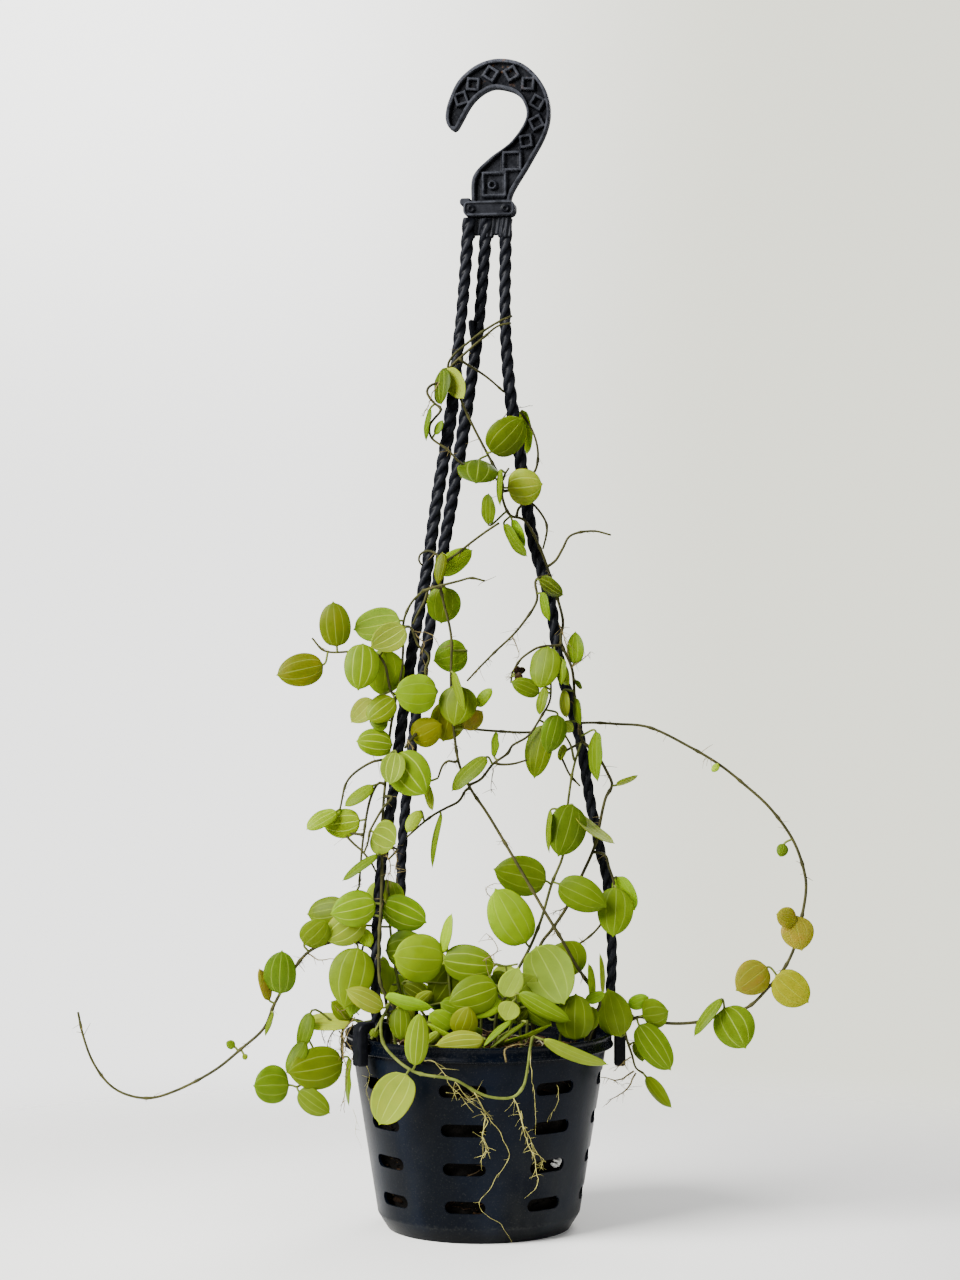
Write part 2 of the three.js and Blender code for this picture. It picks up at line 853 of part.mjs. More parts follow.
    stems: [
      [
        [-22, 118, 15],
        [-26, 134, 18],
      ],
    ],
    leaves: [
      [[-24, 113, 14], [-38, 117, 18], 14, 20],
      [[-20, 118, 17], [-4, 124, 24], 17, 200],
      [[-27, 131, 19], [-44, 139, 22], 17, 150],
      [[-25, 120, 19], [-20, 138, 22], 16, 180],
    ],
  },
  crown_stem_back: {
    root: [1, 36],
    stems: [
      [
        [2, 112, 38],
        [6, 125, 42],
      ],
    ],
    leaves: [
      [[0, 111, 38], [-17, 116, 45], 16, 190],
      [[4, 112, 40], [20, 113, 48], 16, 170],
      [[5, 122, 43], [-8, 134, 50], 17, 200],
      [[8, 121, 43], [19, 128, 49], 13, 160],
    ],
  },
  crown_stem_back_right: {
    root: [24, 12],
    stems: [
      [
        [26, 114, 14],
        [30, 128, 17],
      ],
    ],
    leaves: [
      [[24, 113, 13], [8, 118, 14], 15, 10],
      [[28, 116, 16], [46, 118, 24], 18, 190],
      [[31, 127, 18], [49, 136, 21], 17, 160],
      [[31, 125, 22], [35, 138, 28], 13, 180],
    ],
  },
};

// The pot: a turned shell with a banded rim, cut by its slots and drain holes.
function potSolid() {
  const bandFoot = POT_HEIGHT - RIM_BAND;
  const innerStep = bandFoot - 1;
  const profile = [
    [0, 0],
    [BASE_RADIUS, 0],
    [BODY_FOOT_RADIUS, FOOT_HEIGHT],
    [BODY_TOP_RADIUS, bandFoot],
    [RIM_RADIUS, bandFoot + 0.8],
    [RIM_RADIUS - 0.3, POT_HEIGHT],
    [RIM_RADIUS - RIM_WALL, POT_HEIGHT],
    [RIM_RADIUS - RIM_WALL - 0.3, bandFoot + 1.6],
    [BODY_TOP_RADIUS - WALL, innerStep],
    [BODY_FOOT_RADIUS - WALL, FOOT_HEIGHT],
    [BASE_RADIUS - WALL, FLOOR],
    [0, FLOOR],
  ].map(([radius, height]) => new THREE.Vector2(radius, height));
  let pot = turned(profile);
  SLOT_ROW_HEIGHTS.forEach((height, row) => {
    const share = row / (SLOT_ROW_HEIGHTS.length - 1);
    const width = THREE.MathUtils.lerp(SLOT_TOP_WIDTH, SLOT_FOOT_WIDTH, share);
    for (let column = 0; column < SLOT_COLUMNS; column++) {
      const azimuth = SLOT_FIRST_AZIMUTH + (column * 360) / SLOT_COLUMNS;
      pot = pot.subtract(slotCutter(width, height, azimuth));
    }
  });
  for (let hole = 0; hole < DRAIN_HOLES; hole++) {
    const angle = (hole * 2 * Math.PI) / DRAIN_HOLES;
    const cutter = new THREE.CylinderGeometry(DRAIN_RADIUS, DRAIN_RADIUS, 3 * FLOOR, 8);
    cutter.rotateX(RIGHT_ANGLE);
    cutter.translate(DRAIN_CIRCLE * Math.cos(angle), DRAIN_CIRCLE * Math.sin(angle), 0);
    pot = pot.subtract(solidOf(cutter));
  }
  return pot;
}

// A profile of radius and height turned about the pot's axis.
function turned(profile) {
  const geometry = new THREE.LatheGeometry(profile, POT_SIDES);
  geometry.rotateX(RIGHT_ANGLE);
  geometry.rotateZ(radians(SLOT_FIRST_AZIMUTH));
  return solidOf(geometry);
}

// A round-ended slot that runs through the wall at an azimuth, counted from the front towards +X.
function slotCutter(width, height, azimuth) {
  const radius = SLOT_HEIGHT / 2;
  const outline = [];
  for (const end of [1, -1]) {
    for (const angle of [-90, -30, 30, 90]) {
      const around = radians(angle + 90 * (1 - end));
      const middle = end * (width / 2 - radius);
      outline.push(new THREE.Vector2(middle + radius * Math.cos(around), radius * Math.sin(around)));
    }
  }
  const through = BODY_TOP_RADIUS - BODY_FOOT_RADIUS + 20;
  const cutter = new THREE.ExtrudeGeometry(new THREE.Shape(outline), { depth: through, bevelEnabled: false });
  cutter.rotateX(RIGHT_ANGLE);
  cutter.translate(0, 10 - BODY_FOOT_RADIUS, height);
  cutter.rotateZ(radians(azimuth));
  return solidOf(cutter);
}

// The mix fills the pot to just under its rim, 0.3 mm clear of the wall.
function mixSolid() {
  const wallAt = (height) => {
    const share = (height - FOOT_HEIGHT) / (POT_HEIGHT - RIM_BAND - 1 - FOOT_HEIGHT);
    return THREE.MathUtils.lerp(BODY_FOOT_RADIUS, BODY_TOP_RADIUS, share) - WALL - GAP;
  };
  const profile = [
    [0, FLOOR + GAP],
    [BASE_RADIUS - WALL - GAP, FLOOR + GAP],
    [BODY_FOOT_RADIUS - WALL - GAP, FOOT_HEIGHT],
    [wallAt(MIX_EDGE_HEIGHT), MIX_EDGE_HEIGHT],
    [40, MIX_CROWN_HEIGHT - 1.2],
    [0, MIX_CROWN_HEIGHT],
  ].map(([radius, height]) => new THREE.Vector2(radius, height));
  let mix = turned(profile);
  for (const { root } of Object.values(PLANTS)) {
    const depth = 2 * (MIX_CROWN_HEIGHT - HOLE_FLOOR);
    const cutter = new THREE.CylinderGeometry(HOLE_RADIUS, HOLE_RADIUS, depth, HOLE_SIDES);
    cutter.rotateX(RIGHT_ANGLE);
    cutter.translate(root[0], root[1], MIX_CROWN_HEIGHT);
    mix = mix.subtract(solidOf(cutter));
  }
  return mix;
}

// The two edges of the hook, from its tip over the top and down to the clasp, in the plane of the hook.
const HOOK_OUTER = [
  [-12, 547.5],
  [-16.5, 555],
  [-15, 562.5],
  [-10, 572.5],
  [-0.5, 580],
  [10.5, 582.5],
  [22.5, 579.5],
  [32, 569.8],
  [36, 557.5],
  [34, 545],
  [26, 530],
  [17.5, 516],
  [16, 509],
];
const HOOK_INNER = [
  [-10, 549],
  [-7.5, 553.5],
  [-4.5, 558.8],
  [-1, 563],
  [4, 566.5],
  [10, 567.7],
  [19.5, 564.5],
  [24, 557],
  [23, 550],
  [16, 540.5],
  [5, 532.5],
  [-3, 523.5],
  [-3.3, 509],
];
const HOOK_STEPS = 22;

function edgePoints(places) {
  return new THREE.SplineCurve(places.map(([x, y]) => new THREE.Vector2(x, y))).getPoints(HOOK_STEPS);
}

// A flat shape in the plane of the hanger, made as thick as asked about that plane.
function plate(shape, thickness, middle = 0) {
  const extrusion = { depth: thickness, bevelEnabled: false, curveSegments: 4 };
  const geometry = new THREE.ExtrudeGeometry(shape, extrusion);
  geometry.rotateX(RIGHT_ANGLE);
  geometry.translate(0, thickness / 2 + middle, 0);
  return solidOf(geometry);
}

function ribbonShape(oneEdge, otherEdge) {
  return new THREE.Shape([...oneEdge, ...otherEdge.toReversed()]);
}

function boxShape(left, right, low, high) {
  const corners = [
    [left, low],
    [right, low],
    [right, high],
    [left, high],
  ];
  return new THREE.Shape(corners.map(([x, y]) => new THREE.Vector2(x, y)));
}

// The hook: a flat ribbon with a raised rim round a sunken web on both faces, and the clasp bar.
function hookSolid() {
  const outer = edgePoints(HOOK_OUTER);
  const inner = edgePoints(HOOK_INNER);
  const body = plate(ribbonShape(outer, inner), HOOK_THICKNESS);
  const inset = (from, towards) =>
    from
      .map((point, index) => {
        const across = towards[index].clone().sub(point);
        return point.clone().addScaledVector(across, HOOK_RIM_WIDTH / across.length());
      })
      .slice(2, -3);
  const sunken = ribbonShape(inset(outer, inner), inset(inner, outer));
  const face = HOOK_THICKNESS / 2;
  const frontWeb = plate(sunken, 2 * HOOK_WEB_DEPTH, -face);
  const backWeb = plate(sunken, 2 * HOOK_WEB_DEPTH, face);
  const radius = (CLASP_HIGH - CLASP_LOW) / 2;
  const clasp = new THREE.Shape();
  clasp.absarc(CLASP_RIGHT - radius, CLASP_LOW + radius, radius, -RIGHT_ANGLE, RIGHT_ANGLE);
  clasp.absarc(CLASP_LEFT + radius, CLASP_LOW + radius, radius, RIGHT_ANGLE, 3 * RIGHT_ANGLE);
  return body.subtract(frontWeb).subtract(backWeb).add(plate(clasp, CLASP_THICKNESS));
}

// The header under the clasp, with a tooth over each strand.
const HEADER_GAPS = [
  [-2, 0.5],
  [7.5, 9.5],
];

function headerSolid() {
  const high = CLASP_LOW - GAP;
  let header = plate(boxShape(HEADER_LEFT, HEADER_RIGHT, HEADER_LOW, high), HEADER_THICKNESS);
  for (const [left, right] of HEADER_GAPS) {
    header = header.subtract(plate(boxShape(left, right, HEADER_LOW - 1, high - 3.5), HEADER_THICKNESS + 2));
  }
  return header;
}

// Each strand's centre line as seen (across, up), its azimuth and radius where it meets its clip, and how
// deep it ends.
const STRANDS = {
  strand_left: {
    azimuth: -55,
    endDepth: -37.5,
    line: [
      [-5, STRAND_TOP],
      [-8, 462.5],
      [-10, 442.5],
      [-13, 412.5],
      [-16, 392.5],
      [-21, 362.5],
      [-26.5, 325],
      [-32.5, 292.5],
      [-38, 255],
      [-43.5, 212.5],
      [-49, 177.5],
      [-51.5, 137.5],
      [-51.5, 99],
    ],
  },
  strand_back: {
    azimuth: -142,
    endDepth: 49,
    line: [
      [4, STRAND_TOP],
      [1, 462.5],
      [-1, 442.5],
      [-5.5, 412.5],
      [-8.5, 392.5],
      [-13.5, 362.5],
      [-17, 342.5],
      [-24, 302.5],
      [-31.5, 255],
      [-36.5, 212.5],
      [-38.5, 187.5],
      [-39, 172.5],
      [-37.5, 112],
    ],
  },
  strand_right: {
    azimuth: 90,
    endDepth: 0,
    line: [
      [13.5, STRAND_TOP],
      [13, 462.5],
      [13.5, 442.5],
      [16, 412.5],
      [20, 387.5],
      [27, 342.5],
      [35.5, 312.5],
      [40, 282.5],
      [50.5, 242.5],
      [55.5, 212.5],
      [60.5, 187.5],
      [64, 172.5],
      [66.5, 132.5],
      [64.5, 103],
    ],
  },
};
// A strand's radius by the share of its length, from the header to the clip.
const STRAND_RADII = [2.5, 3.2, 3.1, 2.8, 2.7, 2.5, 2.4, 2.4];

// A strand: three-ridged and twisted, with the clip at its foot that straddles the rim.
function strandSolid({ azimuth, endDepth, line }) {
  const foot = line.at(-1)[1];
  const depthAt = (up) => (endDepth * (STRAND_TOP - up)) / (STRAND_TOP - foot);
  const places = line.map(([across, up]) => seen([across, up, depthAt(up)]));
  const points = along(places, STRAND_STEP);
  const radiusAt = (share) => {
    const place = share * (STRAND_RADII.length - 1);
    const before = Math.min(Math.floor(place), STRAND_RADII.length - 2);
    return THREE.MathUtils.lerp(STRAND_RADII[before], STRAND_RADII[before + 1], place - before);
  };
  const rope = solidOf(bar(points, radiusAt, 3, (2 * Math.PI * STRAND_STEP) / STRAND_TWIST_PITCH));
  return rope.add(clipSolid(azimuth)).simplify(SMALLEST_EDGE);
}

function clipSolid(azimuth) {
  const outerFace = RIM_RADIUS + GAP + 0.2 + CLIP_LEG_THICKNESS;
  const outline = [
    [CLIP_INNER_RADIUS, CLIP_INNER_FOOT],
    [CLIP_INNER_RADIUS + CLIP_INNER_THICKNESS, CLIP_INNER_FOOT],
    [CLIP_INNER_RADIUS + CLIP_INNER_THICKNESS, CLIP_TOP - CLIP_BRIDGE],
    [outerFace - CLIP_LEG_THICKNESS, CLIP_TOP - CLIP_BRIDGE],
    [outerFace - CLIP_LEG_THICKNESS, CLIP_OUTER_FOOT + 1],
    [outerFace - CLIP_LEG_THICKNESS + 1.5, CLIP_OUTER_FOOT],
    [outerFace - 1.5, CLIP_OUTER_FOOT],
    [outerFace, CLIP_OUTER_FOOT + 1.5],
    [outerFace, CLIP_TOP - 3],
    [outerFace - 3, CLIP_TOP],
    [CLIP_INNER_RADIUS + 3, CLIP_TOP],
    [CLIP_INNER_RADIUS, CLIP_TOP - 3],
  ];
  const shape = new THREE.Shape(outline.map(([radius, height]) => new THREE.Vector2(radius, height)));
  const clip = new THREE.ExtrudeGeometry(shape, { depth: CLIP_WIDTH, bevelEnabled: false });
  clip.rotateX(RIGHT_ANGLE);
  clip.translate(0, CLIP_WIDTH / 2, 0);
  clip.rotateZ(radians(azimuth) - RIGHT_ANGLE);
  return solidOf(clip);
}

const potPlastic = new THREE.MeshStandardMaterial({ color: 0x1c1f24, roughness: 0.5, metalness: 0 });
const hangerPlastic = new THREE.MeshStandardMaterial({ color: 0x25262e, roughness: 0.45, metalness: 0 });
const mixBrown = new THREE.MeshStandardMaterial({ color: 0x4a3524, roughness: 0.95, metalness: 0 });
const leafGreen = new THREE.MeshStandardMaterial({ color: 0x8dac2a, roughness: 0.45, metalness: 0 });

const group = new THREE.Group();
group.add(meshOf("pot", potSolid(), potPlastic));
group.add(meshOf("potting_mix", mixSolid(), mixBrown));

// The hook and the header turn together a little about the upright through their middle.
const hanger = new THREE.Group();
hanger.position.x = HANGER_MIDDLE;
hanger.rotation.z = radians(HOOK_TURN);
for (const [name, solid] of [["hook", hookSolid()], ["strand_header", headerSolid()]]) {
  const mesh = meshOf(name, solid, hangerPlastic);
  mesh.position.x = -HANGER_MIDDLE;
  hanger.add(mesh);
}
group.add(hanger);

for (const [name, strand] of Object.entries(STRANDS)) {
  group.add(meshOf(name, strandSolid(strand), hangerPlastic));
}
for (const [name, plant] of Object.entries(PLANTS)) {
  group.add(meshOf(name, plantSolid(plant), leafGreen));
}

export default group;
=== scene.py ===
# %% [markdown]
# # A watermelon dischidia in a hanging nursery pot
# The object is a black slotted pot that hangs from a moulded hook by three strands. A plant with round
# striped leaves grows out of it, climbs the strands and hangs over the rim.
# A packed model already holds every piece at its real size. This script keeps those places and gives
# each piece its fine surface. Sizes are in millimetres until a mesh is made, which turns them to metres.

import bmesh
import bpy
import numpy as np
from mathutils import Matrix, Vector


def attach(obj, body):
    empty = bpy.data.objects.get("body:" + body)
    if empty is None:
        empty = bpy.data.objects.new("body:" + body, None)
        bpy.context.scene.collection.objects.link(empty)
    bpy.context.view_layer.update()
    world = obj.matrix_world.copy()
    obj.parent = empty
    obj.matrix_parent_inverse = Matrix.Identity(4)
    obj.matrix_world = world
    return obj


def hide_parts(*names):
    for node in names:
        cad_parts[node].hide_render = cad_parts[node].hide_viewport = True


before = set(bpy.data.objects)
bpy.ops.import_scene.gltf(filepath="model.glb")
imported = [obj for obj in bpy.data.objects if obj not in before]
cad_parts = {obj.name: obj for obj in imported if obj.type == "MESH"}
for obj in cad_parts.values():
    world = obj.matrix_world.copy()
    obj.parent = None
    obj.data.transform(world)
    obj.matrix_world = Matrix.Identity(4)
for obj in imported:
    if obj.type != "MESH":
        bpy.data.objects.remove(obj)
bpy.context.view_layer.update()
MM = 0.001
print("nodes in the frame:", len(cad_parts))

# %% [markdown]
# ## The camera and the eye's measure
# The picture was taken from in front, level, with a moderate lens. The camera could be placed by hand and
# nudged, but the leaves are placed by how they look from that eye, so one set of numbers serves both: the
# eye's distance, its height and how much of the world the picture's height takes in at the pot's axis.

# %% Camera
EYE_DISTANCE = 1350
EYE_HEIGHT = 275
PICTURE_HEIGHT = 640
PICTURE_MIDDLE = (0.5, 292.5)
SENSOR = 36

camera_data = bpy.data.cameras.new("camera")
camera_data.sensor_fit = "VERTICAL"
camera_data.sensor_height = SENSOR
camera_data.lens = SENSOR * EYE_DISTANCE / PICTURE_HEIGHT
camera_data.shift_x = PICTURE_MIDDLE[0] / PICTURE_HEIGHT
camera_data.shift_y = (PICTURE_MIDDLE[1] - EYE_HEIGHT) / PICTURE_HEIGHT
camera = bpy.data.objects.new("camera", camera_data)
camera.location = (0, -EYE_DISTANCE * MM, EYE_HEIGHT * MM)
camera.rotation_euler = (np.pi / 2, 0, 0)
bpy.context.scene.collection.objects.link(camera)
bpy.context.scene.camera = camera


def seen(places):
    """Real places of (across, up, depth) rows. Across and up are how far right and how high a place
    looks from the eye, measured at the pot's axis. Both grow with depth as the eye's distance does."""
    across, up, depth = np.moveaxis(np.asarray(places, float), -1, 0)
    reach = (EYE_DISTANCE + depth) / EYE_DISTANCE
    return np.stack([across * reach, depth, EYE_HEIGHT + (up - EYE_HEIGHT) * reach], -1)


print("lens in mm:", round(camera_data.lens, 2))

# %% [markdown]
# ## Shader maths
# A material is a small sum of masks and colours. Nodes could be wired one by one, but sums and products
# read better as Python, so a small class wraps a socket and turns +, - and * into Math nodes.


# %% The socket class
class Wire:
    """A socket of one node tree. Arithmetic on it adds Math nodes to that tree."""

    def __init__(self, tree, socket=None):
        self.tree = tree
        self.socket = socket

    def node(self, kind, settings=None, inputs=None, output=0):
        """Adds a node of any kind: its settings come first, then its sockets' values or links."""
        made = self.tree.nodes.new(kind)
        for name, value in (settings or {}).items():
            setattr(made, name, value)
        for name, value in (inputs or {}).items():
            if isinstance(value, Wire):
                self.tree.links.new(value.socket, made.inputs[name])
            else:
                made.inputs[name].default_value = value
        return Wire(self.tree, made.outputs[output])

    def maths(self, operation, *values):
        """Adds a Math node for an operation on these values."""
        return self.node("ShaderNodeMath", {"operation": operation}, dict(enumerate(values)))

    def __add__(self, other):
        return self.maths("ADD", self, other)

    def __radd__(self, other):
        return self.maths("ADD", other, self)

    def __sub__(self, other):
        return self.maths("SUBTRACT", self, other)

    def __rsub__(self, other):
        return self.maths("SUBTRACT", other, self)

    def __mul__(self, other):
        return self.maths("MULTIPLY", self, other)

    def __rmul__(self, other):
        return self.maths("MULTIPLY", other, self)

    def __abs__(self):
        return self.maths("ABSOLUTE", self)

    def most(self, other):
        """The larger one of two values."""
        return self.maths("MAXIMUM", self, other)

    def ramp(self, low, high):
        """0 below low, 1 above high and a smooth step between. With low above high it falls instead."""
        inputs = {"Value": self, "From Min": min(low, high), "From Max": max(low, high)}
        inputs |= {"To Min": int(low > high), "To Max": int(low < high)}
        return self.node("ShaderNodeMapRange", {"interpolation_type": "SMOOTHSTEP"}, inputs)

    def mix(self, first, second):
        """The first colour where self is 0 and the second where it is 1."""
        inputs = {0: self, 6: first, 7: second}
        return self.node("ShaderNodeMix", {"data_type": "RGBA"}, inputs, output=2)

    def times(self, amount):
        """A colour or vector, longer or shorter by an amount."""
        return self.node("ShaderNodeVectorMath", {"operation": "SCALE"}, {0: self, "Scale": amount})


print("what a socket can do:", ", ".join(name for name in vars(Wire) if not name.startswith("__")))


# %% Colours and materials
def colour(text):
    """Linear red, green, blue and alpha of a colour written as #RRGGBB."""
    share = np.array([int(text[start:start + 2], 16) for start in (1, 3, 5)]) / 255
    linear = np.where(share <= 0.04045, share / 12.92, ((share + 0.055) / 1.055) ** 2.4)
    return (*linear.tolist(), 1.0)


def material(name, paint, **constants):
    """A material whose shader's sockets come from paint, a function of a Wire that returns them by name.
    Constants are set on the shader itself."""
    made = bpy.data.materials.new(name)
    made.use_nodes = True
    tree = made.node_tree
    shader = tree.nodes["Principled BSDF"]
    for socket, value in constants.items():
        shader.inputs[socket.replace("_", " ")].default_value = value
    for socket, value in paint(Wire(tree)).items():
        if isinstance(value, Wire):
            tree.links.new(value.socket, shader.inputs[socket])
        else:
            shader.inputs[socket].default_value = value
    return made


def bump(wire, height, depth):
    """A Bump node's normal for a height of 0 to 1 that stands for a depth in millimetres."""
    return wire.node("ShaderNodeBump", None, {"Height": height, "Distance": depth * MM, "Strength": 1.0})


def place_on(wire):
    """Object coordinates, in metres."""
    return wire.node("ShaderNodeTexCoord", output=3)


def split(wire, vector, axes):
    """The parts of a vector on some of its axes."""
    return [wire.node("ShaderNodeSeparateXYZ", None, {0: vector}, output=axis) for axis in axes]


def noise(wire, size, detail, stretch=(1, 1, 1)):
    """Noise from 0 to 1 in Object coordinates, with lumps of about a size in millimetres."""
    vector = wire.node("ShaderNodeMapping", None, {"Vector": place_on(wire), "Scale": stretch})
    settings = {"Vector": vector, "Scale": 1 / (size * MM), "Detail": detail}
    return wire.node("ShaderNodeTexNoise", None, settings)


def mark(wire, name):
    """A value kept at the points of a mesh, as a number."""
    return wire.node("ShaderNodeAttribute", {"attribute_name": name}, output=2)


def tint(wire, name):
    """A colour kept at the points of a mesh."""
    return wire.node("ShaderNodeAttribute", {"attribute_name": name}, output=0)


print("a colour in linear light:", np.round(colour("#8DAF1F"), 3).tolist())

# %% [markdown]
# ## From grids to meshes
# Every piece below is a grid of points worked out by a formula: a turned profile, a tube along a path or
# a leaf blade. A grid that goes round something repeats its first column, and one that ends in a pole
# repeats its last point, so the mesh is welded once it is made, and its faces are turned outwards.


# %% Grids
def patch(points, map_u=0, map_v=0, slot=0, **marks):
    """A grid, or many alike: points as (..., rows, columns, 3), with two map values and marks at each.
    A mark is one value, or an array that spreads over (grids, rows, columns), with a colour's four
    numbers behind them."""
    points = np.asarray(points, float)
    points = points.reshape(-1, *points.shape[-3:])
    shape = points.shape[:-1]
    both = np.zeros(shape + (2,))
    both[..., 0], both[..., 1] = map_u, map_v
    marks = {name: np.broadcast_to(value, shape + np.shape(value)[3:]) for name, value in marks.items()}
    return {"points": points, "map": both, "slot": slot, "marks": marks}


print("a grid of one square:", patch(np.zeros((2, 2, 3)))["points"].shape)

# %% Meshes
WELD_DISTANCE = 2e-6


def build(name, patches, materials, sharp=None):
    """One closed mesh of several patches. Each grid's rows and columns join up into squares, points that
    meet are welded, and the faces are turned outwards. Edges sharper than an angle can stay sharp."""
    points = []
    squares = []
    maps = []
    slots = []
    start = 0
    for made in patches:
        shape = made["points"].shape[:3]
        index = np.arange(np.prod(shape)).reshape(shape)
        corners = [index[:, :-1, :-1], index[:, :-1, 1:], index[:, 1:, 1:], index[:, 1:, :-1]]
        square = np.stack(corners, -1).reshape(-1, 4)
        points.append(made["points"].reshape(-1, 3) * MM)
        maps.append(made["map"].reshape(-1, 2)[square.ravel()])
        slots.append(np.full(len(square), made["slot"]))
        squares.append(square + start)
        start += index.size
    points, squares, maps, slots = map(np.concatenate, (points, squares, maps, slots))
    mesh = bpy.data.meshes.new(name)
    mesh.vertices.add(len(points))
    mesh.vertices.foreach_set("co", points.ravel())
    mesh.loops.add(squares.size)
    mesh.loops.foreach_set("vertex_index", squares.ravel())
    mesh.polygons.add(len(squares))
    mesh.polygons.foreach_set("loop_start", np.arange(0, squares.size, 4))
    mesh.polygons.foreach_set("material_index", slots)
    mesh.uv_layers.new(name="UVMap").data.foreach_set("uv", maps.ravel())
    for key in sorted({key for made in patches for key in made["marks"]}):
        add_mark(mesh, key, patches)
    mesh.update(calc_edges=True)
    weld(mesh)
    mesh.polygons.foreach_set("use_smooth", np.ones(len(mesh.polygons), bool))
    if sharp is not None:
        mesh.set_sharp_from_angle(angle=np.radians(sharp))
    for skin in materials:
        mesh.materials.append(skin)
    made = bpy.data.objects.new(name, mesh)
    bpy.context.scene.collection.objects.link(made)
    return made


def add_mark(mesh, key, patches):
    """Keeps a named value of the patches at the mesh's points, 0 on a patch that doesn't have it."""
    sizes = {made["marks"][key].shape[3:] for made in patches if key in made["marks"]}
    is_colour = sizes == {(4,)}
    values = []
    for made in patches:
        shape = made["points"].shape[:3] + ((4,) if is_colour else ())
        values.append(made["marks"].get(key, np.zeros(shape)).reshape(-1, *shape[3:]))
    kind, field = ("FLOAT_COLOR", "color") if is_colour else ("FLOAT", "value")
    layer = mesh.attributes.new(key, kind, "POINT")
    layer.data.foreach_set(field, np.concatenate(values).astype(np.float32).ravel())


def weld(mesh):
    """Joins points that meet and turns every closed shell's faces outwards."""
    work = bmesh.new()
    work.from_mesh(mesh)
    bmesh.ops.remove_doubles(work, verts=work.verts, dist=WELD_DISTANCE)
    bmesh.ops.recalc_face_normals(work, faces=work.faces)
    work.to_mesh(mesh)
    work.free()


print("points closer than this are welded, in mm:", WELD_DISTANCE / MM)


# %% Tubes and lines
def unit(vectors):
    """Vectors made 1 long."""
    return vectors / np.maximum(np.linalg.norm(vectors, axis=-1, keepdims=True), 1e-9)


DEPTH_WAY = np.array([0.09, 1.0, 0.05])


def tubes(paths, radius, sides, lobes=None, across=DEPTH_WAY):
    """Tubes round paths, as a function of place along and angle round: the path's point plus a radius
    times a circle square to the path. lobes scales the radius by angle and place. Each end closes on
    the path."""
    paths = np.asarray(paths, float).reshape(-1, *np.shape(paths)[-2:])
    ahead = unit(np.gradient(paths, axis=1))
    side = unit(np.cross(ahead, across))
    third = np.cross(ahead, side)
    angle = np.linspace(0, 2 * np.pi, sides + 1)
    ring = side[:, :, None] * np.cos(angle)[:, None] + third[:, :, None] * np.sin(angle)[:, None]
    reach = np.broadcast_to(np.asarray(radius, float), paths.shape[:2])[..., None]
    reach = reach * (1 if lobes is None else lobes(angle, paths))
    skin = paths[:, :, None] + reach[..., None] * ring
    ends = [np.repeat(paths[:, at, None, None], sides + 1, 2) for at in (0, -1)]
    return np.concatenate([ends[0], skin, ends[1]], axis=1)


def lengths_along(paths):
    """How far along its path each point lies, for one path or several."""
    steps = np.linalg.norm(np.diff(paths, axis=-2), axis=-1)
    return np.concatenate([np.zeros_like(steps[..., :1]), np.cumsum(steps, -1)], -1)


def capped(rows):
    """Values along tubes, with the first and the last one repeated for the closed ends."""
    return np.concatenate([rows[:, :1], rows, rows[:, -1:]], 1)


def tube_patch(paths, radius, sides, lobes=None, across=DEPTH_WAY, **marks):
    """Tubes with map values: the turn from 0 to 1, and how far along they are in millimetres."""
    grid = tubes(paths, radius, sides, lobes, across)
    along = capped(lengths_along(np.asarray(paths, float).reshape(-1, *np.shape(paths)[-2:])))
    return patch(grid, np.linspace(0, 1, sides + 1), along[:, :, None], **marks)


def cubic(share, first, second, start, end):
    """A cubic from the first place to the second, with slopes at its start and end."""
    curve = (2 * share**3 - 3 * share**2 + 1) * first + (3 * share**2 - 2 * share**3) * second
    return curve + (share**3 - 2 * share**2 + share) * start + (share**3 - share**2) * end


def line_through(places, step):
    """Even points along a smooth line through places: on each stretch a cubic whose end slopes come from
    the places on both sides, weighted by the square roots of their distances."""
    places = np.asarray(places, float)
    before = 2 * places[:1] - places[1:2]
    after = 2 * places[-1:] - places[-2:-1]
    points = np.concatenate([before, places, after])
    gaps = np.maximum(np.linalg.norm(np.diff(points, axis=0), axis=1) ** 0.5, 1e-3)[:, None]
    slopes = np.diff(points, axis=0) / gaps
    wide = np.roll(gaps, -1, 0)[:-1] + gaps[:-1]
    bends = slopes[:-1] - (points[2:] - points[:-2]) / wide + slopes[1:]
    start, end = bends[:-1] * gaps[1:-1], bends[1:] * gaps[1:-1]
    share = np.linspace(0, 1, 24, endpoint=False)[:, None, None]
    curve = cubic(share, points[1:-2], points[2:-1], start, end)
    curve = np.concatenate([curve.transpose(1, 0, 2).reshape(-1, 3), places[-1:]])
    return even(curve, step)


def even(curve, step):
    """The same line with points a step apart."""
    along = lengths_along(curve)
    count = max(3, int(round(along[-1] / step)) + 1)
    wanted = np.linspace(0, along[-1], count)
    return np.stack([np.interp(wanted, along, curve[:, axis]) for axis in range(3)], -1)


print("points a step of 1 apart on a line 10 long:", len(line_through([(0, 0, 0), (0, 0, 10)], 1)))


# %% Turned shapes, round corners and waves
def turned_on(points, turn):
    """Points turned by an angle in degrees about the upright."""
    cosine, sine = np.cos(np.radians(turn)), np.sin(np.radians(turn))
    matrix = np.array([[cosine, sine, 0], [-sine, cosine, 0], [0, 0, 1]])
    return points @ matrix


def lathe(profile, segments):
    """A profile of (radius, height) rows turned about the upright: columns are angles, rows the profile."""
    radius, height = np.asarray(profile, float).T
    angle = np.linspace(0, 2 * np.pi, segments + 1)
    rows = [np.outer(radius, np.cos(angle)), np.outer(radius, np.sin(angle))]
    rows.append(np.repeat(height[:, None], segments + 1, 1))
    return np.stack(rows, -1)


